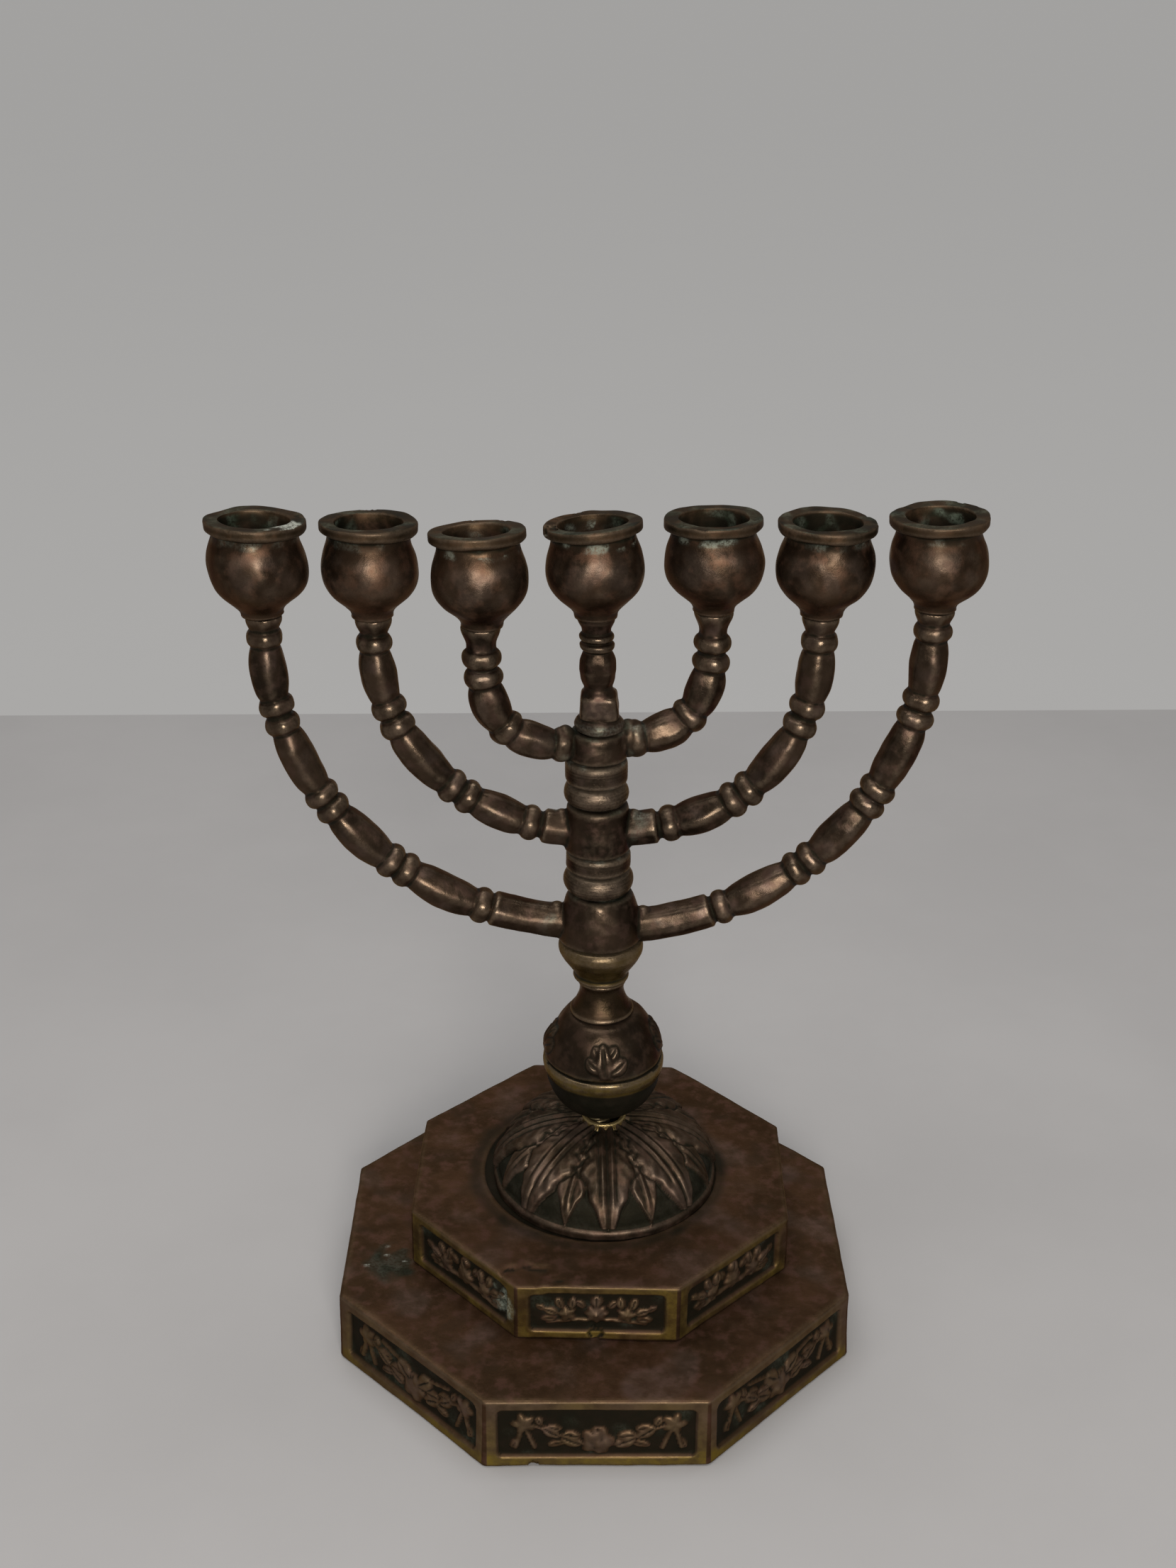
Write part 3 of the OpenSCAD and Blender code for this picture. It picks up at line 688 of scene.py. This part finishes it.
def turned_piece(name, node, outside, lean, material, cols=144, marks=None, noise=0.03, lines=0.0,
                 reshape=None, hole=ROD_HOLE, rounds=10, soft=2, worn=0.6):
    """A turned piece on the rod. `outside` is [radius, height] from the node's foot to its top."""
    foot = low_z(node)
    scale = (top_z(node) - foot) / (outside[-1][1] - outside[0][1])
    corners = [(r, (z - outside[0][1]) * scale) for r, z in outside]
    corners += [(hole, corners[-1][1]), (hole, corners[0][1])]
    spacing = [0.25] * (len(outside) - 1) + [0.6, 1.2, 0.8]
    loop = path(corners, spacing, closed=True, rounds=soft)
    if lines:
        fine = np.sin(loop[:, 1] * 9.1) + np.sin(loop[:, 1] * 14.7 + 1)
        loop[:, 0] += lines * fine * (loop[:, 0] > hole + 0.3)
    rings = turned(loop, cols)
    if reshape:
        rings = reshape(rings, loop)
    rings = rings + np.array([lean, 0, foot])
    seed = sum(map(ord, name)) % 97
    shape = lumpy(skin(rings, closed=True), (6, 2.2 * noise, seed), (2, noise, seed + 1))
    piece(name, shape, "stand", node, material, marks, rounds, worn)


def knop_relief(rings, loop):
    """Raises four sprigs round the knop's shell: two curled leaves over a small mound."""
    cols = rings.shape[1]
    angle = angles(cols)
    tall = loop[:, 1:]
    outer = (loop[:, :1] > 5) * ease(0.6, 1.6, tall) * ease(9.2, 8.2, tall)
    raised = np.zeros((len(loop), cols))
    leaves = [((0.2, 0.9), 96, 6.6, 2.6, 0.9), ((-0.3, 2.2), 140, 4.0, 1.8, 0.75),
              ((0.6, 2.0), 38, 4.2, 1.9, 0.8), ((-0.4, 4.4), 128, 3.2, 1.5, 0.6),
              ((0.6, 4.6), 52, 3.0, 1.5, 0.65)]
    for k in range(4):
        here = (angle + TURN / 4 - k * TURN / 4 + math.pi) % TURN - math.pi
        s, v = np.broadcast_arrays(10.0 * here, tall)
        sprig = [leaf(s, v, *one) for one in leaves] + [bud(s, v, (0.2, 1.1), 1.3, 0.7)]
        raised = np.maximum(raised, np.max(sprig, axis=0))
    around = turned(np.column_stack([np.full(len(loop), 10.0), tall]), cols).reshape(-1, 3)
    raised = 0.75 * raised * outer * (1 + 0.25 * lumps(around, 2.0, 71).reshape(raised.shape))
    return rings + raised[..., None] * np.stack([np.cos(angle), np.sin(angle), np.full(cols, 0.3)], -1)


def build_stem():
    collar = [(5.0, 0), (5.0, 0.5), (4.5, 0.9), (4.5, 1.9)]
    turned_piece("dome_collar_ring", "dome_collar", collar, 1.15, BRASS, lines=0.008)

    bowl_top = top_z("knop_bowl")
    bowl_h = bowl_top - low_z("knop_bowl")
    bowl = [(11.6 * math.sin(a), 11.4 - 11.4 * math.cos(a)) for a in np.linspace(0.40, TURN / 4 - 0.12, 8)]
    bowl = [(3.9, 0.0), *bowl, (11.75, bowl_h - 3.0), (12.1, bowl_h - 2.2), (12.15, bowl_h - 0.5),
            (11.8, bowl_h)]

    def bowl_marks(points, facing):
        band = ease(bowl_top - 3.6, bowl_top - 2.7, points[:, 2]) * (facing[:, 2] < 0.8)
        rough = ease(0.4, 1.3, lumps(points, 3, 51))
        # The whole bowl below the brassy band is painted near black: painted shade on its underside.
        return {WEAR_AND_HIGHLIGHT: 0.12 * band, GRIME_AND_SHADE: 1 - band + 0.2 * rough * band, BRASSY: 0.85 * band}

    turned_piece("knop_bowl_casting", "knop_bowl", bowl, 0.95, KNOP, cols=200, marks=bowl_marks,
                 noise=0.035, soft=4)

    shell_foot = low_z("knop_shell")
    shell = [(11.9, 0), (11.85, 0.7), (11.5, 2.4), (10.9, 4.2), (10.0, 6.0), (8.95, 7.8), (8.0, 9.0),
             (7.1, 9.7), (6.6, 10.0)]

    def shell_marks(points, facing):
        off = np.hypot(points[:, 0] - 0.85, points[:, 1])
        line = ease(1.2, 0.3, points[:, 2] - shell_foot) * (off > 9)
        return {WEAR_AND_HIGHLIGHT: 0.25 * line, VERDIGRIS: 0.12 * ease(0.8, 1.5, lumps(points, 4, 52)),
                GRIME_AND_SHADE: 0.25 * ease(0.2, 1.2, lumps(points, 4, 53)), BRASSY: 0.35 * line, LILAC: 0.1}

    turned_piece("knop_shell_casting", "knop_shell", shell, 0.85, KNOP, cols=336, marks=shell_marks,
                 noise=0.04, reshape=knop_relief, rounds=8, soft=9, worn=0.2)

    neck = [(6.3, 0), (6.45, 0.4), (6.3, 0.95), (5.75, 1.2), (5.45, 1.9), (4.95, 3.0), (4.5, 4.3),
            (4.35, 5.3), (4.5, 6.4), (4.95, 7.4), (5.1, 7.8)]
    turned_piece("neck_turning", "neck_baluster", neck, 0.5, STEM, lines=0.005, soft=4)
    pear = [(5.2, 0), (5.55, 0.25), (5.55, 0.8), (5.15, 1.15), (5.35, 1.7), (6.4, 3.3), (7.6, 5.1),
            (8.35, 6.6), (8.3, 7.8), (7.7, 8.8)]

    def pear_marks(points, facing):
        yellow = ease(0.1, 1.1, lumps(points, 6, 54))
        return {WEAR_AND_HIGHLIGHT: 0.05 * yellow, GRIME_AND_SHADE: 0.15 * (1 - yellow), BRASSY: 0.35 + 0.3 * yellow}

    turned_piece("pear_turning", "stem_pear", pear, 0.25, STEM, lines=0.005, marks=pear_marks, soft=4)

    def ring_profile(r, h):
        tube = 2.6 * 0.8
        return [(r - tube + tube * math.sin(a), h / 2 - h / 2 * math.cos(a))
                for a in np.linspace(0.15, math.pi - 0.15, 11)]

    def band_profile(r, h):
        return [(r - 0.55, 0), (r - 0.1, 0.35), (r, 0.8), (r, h - 0.7), (r - 0.2, h - 0.3), (r - 0.5, h)]

    for node, profile, r, lean in (
            ("lower_round_ring", ring_profile, 6.75, -0.3), ("upper_round_ring", ring_profile, 6.15, -0.95),
            ("lower_band_ring", band_profile, 6.2, -0.5), ("upper_band_ring", band_profile, 5.9, -0.95)):
        outside = profile(r, top_z(node) - low_z(node))
        turned_piece(f"{node}_turning", node, outside, lean, RING, lines=0.007,
                     marks=green_rims(node))


def green_rims(node):
    """Verdigris and grime in the joints above and below a ring, and a faint painted highlight on the side
    that faces the front.
    """
    foot, top = low_z(node), top_z(node)

    def marks(points, facing):
        seam = np.maximum(ease(0.9, 0.1, points[:, 2] - foot), ease(0.9, 0.1, top - points[:, 2]))
        patch = ease(0.2, 1.1, lumps(points, 2.2, 55))
        front = ease(0.2, 1.0, -facing[:, 1])
        # The side facing the front gets a faint painted highlight.
        return {WEAR_AND_HIGHLIGHT: 0.08 * front, VERDIGRIS: 0.25 * seam * patch, GRIME_AND_SHADE: 0.75 * seam, LILAC: 0.2 * patch,
                PALE: 0.15 * seam * patch}
    return marks


def build_post():
    """The upright that carries the middle cup: rings, a square block, a long spindle and two beads."""
    node = "center_post"
    foot, top = low_z(node), top_z(node)
    h = top - foot
    outside = [(4.3, 0), (4.7, 0.5), (4.75, 1.3), (4.3, 2.1), (3.7, 2.7), (3.65, 3.4), (3.5, 6.6), (3.2, 7.5),
               (2.8, 8.0), (2.65, 8.6), (3.1, 10.0), (3.35, 11.8), (3.2, 13.8), (2.8, 15.2), (2.6, 15.7),
               (3.2, 16.2), (3.3, 16.9), (2.6, 17.5), (3.15, 18.0), (3.2, 18.6), (2.6, 19.2), (2.7, 20.0),
               (3.3, 21.4), (3.45, h)]
    loop = path([(2.52, 5.7), (2.52, -0.001), *outside, (1.6, h), (1.6, h - 4.8), (0.3, h - 4.9)],
                [1.2, 0.6] + [0.2] * (len(outside) - 1) + [0.5, 0.8, 0.4], rounds=1)
    loop = np.vstack([[0.3, 5.8], loop])
    r, z = loop[:, :1], loop[:, 1:]
    cols = 120
    rings = turned(loop, cols)
    angle = angles(cols)
    square = (np.abs(np.cos(angle + 0.06)) ** 5 + np.abs(np.sin(angle + 0.06)) ** 5) ** (-1 / 5)
    block = ease(2.5, 3.1, z) * ease(7.6, 6.9, z) * (r > 2.9)
    facets = 1 + 0.03 * np.cos(6 * angle) * ease(8.4, 9.4, z) * ease(15.5, 14.5, z) * (r > 2.55)
    rings[..., :2] *= ((1 + (square - 1) * block) * facets)[..., None]
    rise = np.clip(rings[..., 2] / h, 0, 1)
    rings[..., 0] += -0.35 - 0.95 * rise
    rings[..., 2] += foot
    shape = lumpy(skin(rings, closed=False), (5, 0.09, 61), (1.8, 0.05, 62))

    def marks(points, facing):
        z = points[:, 2] - foot
        gate = ease(0.5, 1.0, -facing[:, 1]) * ease(3.2, 3.6, z) * ease(7.0, 6.4, z)
        chewed = gate * ease(-0.2, 0.7, lumps(points, 1.0, 63))
        low = ease(2.6, 1.6, z)
        return {WEAR_AND_HIGHLIGHT: 0.22 * chewed, VERDIGRIS: 0.3 * low * ease(0, 1, lumps(points, 2, 64)),
                GRIME_AND_SHADE: 0.35 * gate * (1 - chewed) + 0.3 * low, LILAC: 0.35 * gate, PALE: 0.1 * low}

    piece("center_post_casting", shape, "stand", node, ARM, marks, rounds=8)


# --- Arms ---

ARM_NECK, BEAD, SPINDLE, BAR, WAIST = 2.5, 3.45, 3.5, 3.3, 2.35
STUD_HOLE, STUD_HOLE_DEPTH = 1.62, 4.8


def arm_line(reach, upright_z, drop, bend, start, top, rise):
    """Even steps along a quarter superellipse from the hub, then straight up to the seat: [out, up]."""
    t = np.linspace(math.asin((start / reach) ** (bend / 2)), TURN / 4, 900)
    out = np.append(reach * np.sin(t) ** (2 / bend), reach)
    up = np.append(upright_z - drop * np.clip(np.cos(t), 0, 1) ** (2 / bend), top)
    up = up + rise * np.clip((up - up[0]) / (top - up[0]), 0, 1) ** 2
    run = np.concatenate([[0], np.cumsum(np.hypot(np.diff(out), np.diff(up)))])
    at = np.linspace(0, run[-1], int(run[-1] / 0.28))
    return at, np.stack([np.interp(at, run, out), np.interp(at, run, up)], 1)


def arm_radius(at, beads, bar):
    """Radius along an arm. Beads are distances down from the tip; each wide gap between two holds a
    spindle. A plain bar runs from the distance `bar` to the hub."""
    down = at[-1] - at
    r = np.maximum(np.full(len(at), ARM_NECK), ARM_NECK + ease(3.6, 0.4, down))
    for above, below in zip(beads, beads[1:]):
        if below - above > 6:
            half = (below - above) / 2 - 1.25
            swell = np.clip(1 - ((down - (above + below) / 2) / half) ** 2, 0, 1) ** 0.6
            r = np.maximum(r, WAIST + (SPINDLE - WAIST) * swell)
    for bead in beads:
        swell = np.sqrt(np.clip(1 - ((down - bead) / 1.6) ** 2, 0, 1))
        r = np.maximum(r, WAIST + (BEAD - WAIST) * swell)
    return np.maximum(r, WAIST + (BAR - WAIST) * ease(bar, bar + 0.8, down))


def arm_tube(at, line, r, way, yaw, lean, seed):
    """The arm's surface, with slight facets, and a blind hole for the stud in its tip."""
    cols = 44
    angle = angles(cols)
    ahead = np.gradient(line, axis=0)
    ahead /= np.linalg.norm(ahead, axis=1, keepdims=True)
    side = np.stack([ahead[:, 1], -ahead[:, 0]], 1)
    rng = np.random.default_rng(seed)
    facets = 1 + 0.030 * np.cos(6 * angle + rng.uniform(0, TURN))
    facets = facets + 0.012 * np.cos(angle * 3 + at[:, None] * 0.35)
    bore = np.array([STUD_HOLE, STUD_HOLE, 0.4])
    grow = np.vstack([r[:, None] * facets, np.repeat(bore[:, None], cols, 1)])
    depth = np.array([0, STUD_HOLE_DEPTH, STUD_HOLE_DEPTH + 0.1])
    line = np.vstack([line, np.stack([np.full(3, line[-1, 0]), line[-1, 1] - depth], 1)])
    side = np.vstack([side, np.tile([1.0, 0.0], (3, 1))])
    out = line[:, :1] + side[:, :1] * grow * np.cos(angle)
    z = line[:, 1:] + side[:, 1:] * grow * np.cos(angle)
    y = grow * np.sin(angle)
    x, y = spin(out * way, y, yaw)
    return skin(np.stack([x + lean, y, z], -1), closed=False)


def egg(at, radii, yaw):
    """A plain closed ellipsoid, melted into a casting where an arm joins its hub."""
    t = np.linspace(0.02, math.pi - 0.02, 24)
    rings = turned(np.stack([np.sin(t), -np.cos(t)], 1), 32) * np.array(radii)
    x, y = spin(rings[..., 0], rings[..., 1], yaw)
    return skin(np.stack([x + at[0], y + at[1], rings[..., 2] + at[2]], -1), closed=False)


def build_pair(name, node, body, hub, hub_lean, sides, beads, bar, yaw, gate, seed):
    """One pair of arms with its hub, cast together. sides holds the left and the right arm's curve:
    (reach, height where it turns upright, drop, bend, rise at the tip). gate is the rough patch on the
    hub: (half its width, foot, top)."""
    foot, seat = low_z(node), top_z(node)
    loop = path([*hub, (ROD_HOLE, hub[-1][1]), (ROD_HOLE, 0)], 0.25, closed=True, rounds=1)
    shapes = [skin(turned(loop, 96) + np.array([hub_lean, 0, foot]), closed=True)]
    hub_r = max(r for r, _ in hub)
    for way, (reach, upright_z, drop, bend, rise) in zip((-1, 1), sides):
        at, line = arm_line(reach, upright_z, drop, bend, 4.5, seat, rise)
        shapes.append(arm_tube(at, line, arm_radius(at, beads, bar), way, yaw, hub_lean, seed + way))
        root = np.searchsorted(line[:, 0], hub_r + 0.2)
        x, y = spin(way * line[root, 0], 0, yaw)
        shapes.append(egg((hub_lean + x, y, line[root, 1] + 0.2), (2.4, 2.9, 3.7), yaw))
    shape = cast_as_one(shapes, 0.25, 2)
    shape = lumpy(shape, (7, 0.10, seed), (2.6, 0.045, seed + 1), (1.1, 0.012, seed + 2))
    tall = hub[-1][1]

    def marks(points, facing):
        off = np.hypot(points[:, 0] - hub_lean, points[:, 1])
        on_hub = ease(hub_r + 0.8, hub_r + 0.1, off) * (off > ROD_HOLE + 0.3)
        joint = ease(hub_r + 5.0, hub_r + 1.0, off) * (1 - on_hub)
        front = ease(0.55, 0.95, -facing[:, 1])
        z = points[:, 2] - foot
        patch = on_hub * front * ease(gate[0], gate[0] - 0.8, np.abs(points[:, 0] - hub_lean))
        patch = patch * ease(gate[1], gate[1] + 0.5, z) * ease(gate[2], gate[2] - 0.5, z)
        chewed = patch * ease(-0.4, 0.6, lumps(points, 1.1, seed + 3))
        seam = on_hub * np.maximum(ease(0.8, 0.1, z), ease(0.8, 0.1, tall - z))
        mottle = ease(0.2, 1.2, lumps(points, 2.4, seed + 4))
        # Besides the chewed gate, the arms' front faces get a faint painted highlight.
        return {WEAR_AND_HIGHLIGHT: 0.15 * chewed + 0.05 * front * (1 - on_hub),
                VERDIGRIS: 0.25 * joint * mottle + 0.2 * seam * mottle,
                GRIME_AND_SHADE: 0.35 * patch * (1 - chewed) + 0.8 * seam + 0.25 * joint,
                LILAC: 0.25 * mottle * (1 - on_hub),
                PALE: 0.15 * joint * mottle * ease(0.3, 1, facing[:, 2])}

    piece(name, shape, body, node, ARM, marks, rounds=10)


def build_arms():
    build_pair("outer_arms_casting", "outer_arms", "outer_pair",
               [(7.7, 0), (8.05, 0.4), (8.1, 1.1), (8.0, 2.2), (7.7, 4.5), (7.2, 6.8), (6.6, 9.0), (6.2, 9.8),
                (5.9, 10.2)],
               0.0, [(61.15, 145.6, 58.6, 2.05, 0.1), (60.2, 146.2, 60.4, 2.06, 0.7)],
               (4.2, 17.6, 21.4, 37.2, 40.8, 56.2, 59.7, 76.0), 77.7, 0.0, (3.6, 4.0, 10.4), 201)
    build_pair("middle_arms_casting", "middle_arms", "middle_pair",
               [(6.1, 0), (6.4, 0.4), (6.35, 3.5), (6.1, 6.2), (5.95, 6.8), (5.9, 8.9), (5.6, 9.5)],
               -0.65, [(41.0, 146.8, 39.9, 2.12, -0.6), (40.05, 146.8, 39.8, 2.34, 0.0)],
               (4.9, 17.9, 21.8, 37.8, 41.5, 54.4), 56.4, -1.5, (3.4, 0.6, 5.8), 211)
    build_pair("inner_arms_casting", "inner_arms", "inner_pair",
               [(5.4, 0), (5.65, 0.4), (5.5, 2.4), (5.15, 4.6), (4.8, 5.4)],
               -0.9, [(21.25, 146.4, 21.3, 3.1, -1.0), (21.35, 147.0, 21.7, 3.3, -0.5)],
               (6.1, 9.9, 21.2, 32.4), 34.3, 8.0, (3.0, 0.6, 4.6), 221)


# --- Cups and their screws ---

def build_cups():
    bore = path([(0.3, 6.3), (5.7, 6.5), (6.2, 6.9), (6.2, 16.5)], [0.9, 0.4, 0.45], rounds=1)
    rim = path([(6.2, 16.5), (6.35, 17.4), (8.8, 17.5), (9.0, 17.3), (9.0, 15.9), (8.75, 15.6), (7.7, 15.2)],
               0.2, rounds=1)
    body = path([(7.7, 15.2), (7.55, 14.6), (7.9, 13.6), (8.6, 11.8), (8.98, 9.8), (9.0, 8.1), (8.7, 6.4),
                 (8.0, 5.0), (7.0, 3.8), (5.8, 2.8), (4.75, 1.9), (4.05, 1.1), (3.8, 0.5), (3.9, 0.0)],
                0.24, rounds=12)
    foot = path([(3.9, 0.0), (STUD_HOLE, 0.0), (STUD_HOLE, 4.2), (0.3, 4.3)], [0.5, 0.8, 0.4], rounds=0)
    loop = np.vstack([bore[:-1], rim[:-1], body[:-1], foot])
    # Each cup as it stands: shift of its rim and its foot, lift, lean right and back in degrees, girth
    stands = [(-1.2, -0.35, 0.2, 2.1, 2.4, 1.0), (-1.25, -0.95, -0.6, 1.4, 2.9, 0.985),
              (-1.0, -0.9, -1.1, -2.4, 6.0, 0.97), (-1.1, -1.3, -0.5, -4.5, 3.5, 0.98),
              (-1.0, -0.8, -0.5, -1.3, 1.5, 0.985), (-1.0, -1.3, 0.0, -0.1, 0.5, 0.98),
              (-0.6, -0.6, 0.7, -2.2, 1.0, 0.99)]
    for number, (shift, foot_shift, lift, lean_x, lean_y, girth) in enumerate(stands, 1):
        node = f"cup_{number}"
        at = middle(node)
        cols = 168
        rings = turned(loop * np.array([girth, 1]), cols)
        oval = 1 + 0.012 * np.cos(2 * angles(cols) + number * 1.3) * (loop[:, :1] > 5)
        rings[..., :2] *= oval[..., None]
        tall = ease(0.5, 14.0, loop[:, 1:]) * (loop[:, :1] > STUD_HOLE + 0.2)
        lean = np.tan(np.radians([lean_x, lean_y]))
        rings[..., :2] += (rings[..., 2:] - 6) * lean * tall[..., None]
        rings[..., 2] -= rings[..., :2] @ lean * tall
        rings[..., 0] += foot_shift + (shift - foot_shift) * ease(4.5, 14.0, loop[:, 1:])
        rings += np.array([at[0], at[1], low_z(node) + lift])
        points, faces = lumpy(skin(rings, closed=False), (6, 0.13, 300 + number), (2.6, 0.05, 320 + number),
                              (1.2, 0.008, 340 + number))
        rim = low_z(node) + lift + 17.4
        rng = np.random.default_rng(400 + number)
        for _ in range(3):
            a = rng.uniform(0, TURN)
            nick_at = (at[0] + shift + 8.8 * math.cos(a), at[1] + 8.8 * math.sin(a), rim)
            points = points - np.outer(spot(points, nick_at, rng.uniform(0.8, 1.4), 0.16), (0, 0, 1))
        if number == 4:
            nick = spot(points, (at[0] + shift - 8.9, at[1] - 1, rim - 0.5), 2.2, 0.8)
            points = points + np.outer(nick, (0.8, 0, -0.5))

        def marks(points, facing, number=number, rim=rim, centre=(at[0] + shift, at[1])):
            off = np.hypot(points[:, 0] - centre[0], points[:, 1] - centre[1])
            below = rim - points[:, 2]
            top = ease(0.9, 0.2, below) * ease(0.6, 0.9, facing[:, 2])
            inside = ease(6.7, 6.3, off) * ease(0.2, 0.8, below) * (points[:, 2] > rim - 12)
            neck = ease(1.1, 0.2, np.abs(below - 2.6)) * (off > 6.8)
            front = ease(0.3, 0.95, -facing[:, 1]) * (off > 6.9)
            # A painted highlight: the front of the belly, midway down, is painted lighter and lilac.
            painted_highlight = front * ease(4.5, 1.5, np.abs(below - 7.5))
            painted_highlight = painted_highlight * ease(-0.6, 0.8, lumps(points, 2.4, 500 + number))
            crusty = 1.0 if number in (3, 4, 5) else 0.35
            patch = ease(0.0, 0.9, lumps(points, 2.2, 520 + number))
            green = 0.2 * top * ease(-0.4, 0.8, lumps(points, 3, 540 + number)) + crusty * 0.45 * neck * patch
            pale = crusty * 0.22 * neck * patch
            if number == 1:
                pale = pale + top * spot(points, (centre[0] + 6.5, centre[1] - 3.5, rim), 4.0, 0.8)
            low = ease(2.4, 1.8, below)
            dirt = 0.25 * ease(0.3, 1.2, lumps(points, 3.5, 560 + number)) + 0.35 * neck * (1 - patch)
            return {WEAR_AND_HIGHLIGHT: 0.10 * painted_highlight - 0.3 * top,
                    VERDIGRIS: green + inside * (0.45 if number in (1, 2, 7) else 0.25) * patch,
                    GRIME_AND_SHADE: 0.45 * top + 0.30 * low + 0.85 * inside + dirt,
                    BRASSY: 0.06 * low, LILAC: 0.25 * painted_highlight, PALE: pale}

        piece(f"{node}_casting", (points, faces), f"{node}_body", node, CUP, marks, rounds=10,
              worn=0.4)
        build_screw(f"stud_{number}_screw", f"stud_{number}", f"{node}_screw", 1.45, 0.5,
                    foot_shift, lift)


def build_screw(name, node, body, r, pitch, shift=0.0, lift=0.0):
    """A threaded rod: a ridge that climbs one pitch each turn, faded out at both ends."""
    foot, top = low_z(node) + lift, top_z(node) + lift
    z = np.linspace(foot, top, int((top - foot) / (pitch / 6)))[:, None]
    angle = angles(40)
    at = middle(node)
    wave = np.cos((z / pitch - angle / TURN) * TURN)
    ends = ease(0, 0.6, z - foot) * ease(0, 0.6, top - z)
    radius = r - pitch * 0.28 * (1 - wave) / 2 - 0.25 * (1 - ends)
    x, y = at[0] + shift + radius * np.cos(angle), at[1] + radius * np.sin(angle)
    rings = np.stack([x, y, np.broadcast_to(z, x.shape)], -1)
    piece(name, skin(rings, closed=False), body, node, SCREW, rounds=6)


def build_fasteners():
    build_screw("tie_rod_screw", "tie_rod", "stand", 2.45, 0.8)
    foot, top = low_z("hex_nut"), top_z("hex_nut")
    h = top - foot
    section = path([(2.45, 0), (3.6, 0), (4.6, 0.55), (4.6, h - 0.55), (3.6, h), (2.45, h)], 0.25,
                   closed=True, rounds=1)
    cols, r = 144, section[:, :1]
    rings = turned(section, cols)
    hexagon = 4.0 / np.cos((angles(cols) + TURN / 12) % (TURN / 6) - TURN / 12)
    rings[..., :2] *= np.where(r > 3.3, np.minimum(r, hexagon) / r, 1)[..., None]
    shape = skin(rings + np.array([0, 0, foot]), closed=True)
    piece("hex_nut_turning", shape, "stand", "hex_nut", SCREW, rounds=6)
    thick = top_z("washer") - low_z("washer")
    washer = [(7.7, 0), (8.0, 0.25), (8.0, thick - 0.25), (7.7, thick)]
    turned_piece("washer_pressing", "washer", washer, 0, SCREW, noise=0.01, hole=2.75)


# --- Studio: pale floor and backdrop, soft light, and the camera; all in metres ---

def stage_sheet(name, near, far, colour, glow=0.0):
    """A flat sheet from near to far, with a faint unevenness in its tone. Its glow keeps it as pale
    far away from the lamps as near them."""
    n = Nodes(name)
    where = n.add("ShaderNodeTexCoord").outputs["Object"]
    tone = n.noise(where, 9, 5)
    paler = tuple(min(1, c * 1.05) for c in colour)
    n.feed(n.shader.inputs["Base Color"], n.blend(n.band(tone, 0.35, 0.65), colour, paler))
    n.shader.inputs["Roughness"].default_value = 0.9
    n.shader.inputs["Specular IOR Level"].default_value = 0.2
    n.shader.inputs["Emission Color"].default_value = (1.0, 0.985, 0.965, 1)
    n.shader.inputs["Emission Strength"].default_value = glow
    mesh = bpy.data.meshes.new(name)
    wide = 3.0
    corners = [(-wide, near, 0), (wide, near, 0), (wide, far, 0), (-wide, far, 0)]
    mesh.from_pydata(corners, [], [(0, 1, 2, 3)])
    mesh.materials.append(n.material)
    ob = bpy.data.objects.new(name, mesh)
    bpy.context.scene.collection.objects.link(ob)


def build_stage():
    """The floor, and behind it the pale backdrop. It lies flat, so that it hides nothing from behind."""
    back = 0.31
    stage_sheet("floor", -3.2, back, (0.25, 0.243, 0.240))
    stage_sheet("backdrop", back, 9.0, (0.04, 0.039, 0.038), glow=0.34)


def softbox(name, at, aim, power, size, colour=(1, 1, 1)):
    lamp = bpy.data.lights.new(name, "AREA")
    lamp.energy, lamp.color = power, colour
    lamp.shape, lamp.size, lamp.size_y = "RECTANGLE", *size
    ob = bpy.data.objects.new(name, lamp)
    ob.location = at
    ob.rotation_mode = "QUATERNION"
    ob.rotation_quaternion = (Vector(aim) - Vector(at)).to_track_quat("-Z", "Y")
    bpy.context.scene.collection.objects.link(ob)


def build_lights():
    world = bpy.data.worlds.new("studio")
    world.use_nodes = True
    sky = world.node_tree.nodes["Background"].inputs
    sky["Color"].default_value = (1.0, 0.985, 0.97, 1)
    sky["Strength"].default_value = 0.25
    bpy.context.scene.world = world
    softbox("front_softbox", (0.04, -0.75, 0.40), (0, 0, 0.09), 7.6, (0.30, 0.24), (1, 0.97, 0.93))
    softbox("top_softbox", (-0.1, 0.05, 1.1), (0, 0, 0.05), 13, (1.0, 0.9))


def build_camera():
    """The photographer's place: 352 mm from the stem, 25 degrees above the floor, a little to the left."""
    azimuth, elevation = math.radians(-1.992), math.radians(25.08)
    distance, aim = 0.35204, Vector((-0.001, -0.0036, 0.1182))
    pan, roll = 0.0046162, 0.0086672
    level = math.cos(elevation)
    back = Vector((math.sin(azimuth) * level, -math.cos(azimuth) * level, math.sin(elevation)))
    right = (-back).cross(Vector((0, 0, 1))).normalized()
    up = right.cross(-back)
    turn = Matrix.Rotation(pan, 3, up)
    ahead, right = turn @ -back, turn @ right
    right, up = (Matrix.Rotation(-roll, 3, ahead) @ v for v in (right, up))
    data = bpy.data.cameras.new("camera")
    data.sensor_width, data.sensor_fit, data.lens = 36, "HORIZONTAL", 57.93
    data.clip_start = 0.01
    ob = bpy.data.objects.new("camera", data)
    facing = Matrix((right, up, -ahead)).transposed().to_4x4()
    ob.matrix_world = Matrix.Translation(aim + back * distance) @ facing
    bpy.context.scene.collection.objects.link(ob)
    bpy.context.scene.camera = ob


bpy.context.scene.view_settings.view_transform = "Standard"
build_camera()
build_stage()
build_lights()
build_base()
build_dome()
build_stem()
build_post()
build_arms()
build_cups()
build_fasteners()
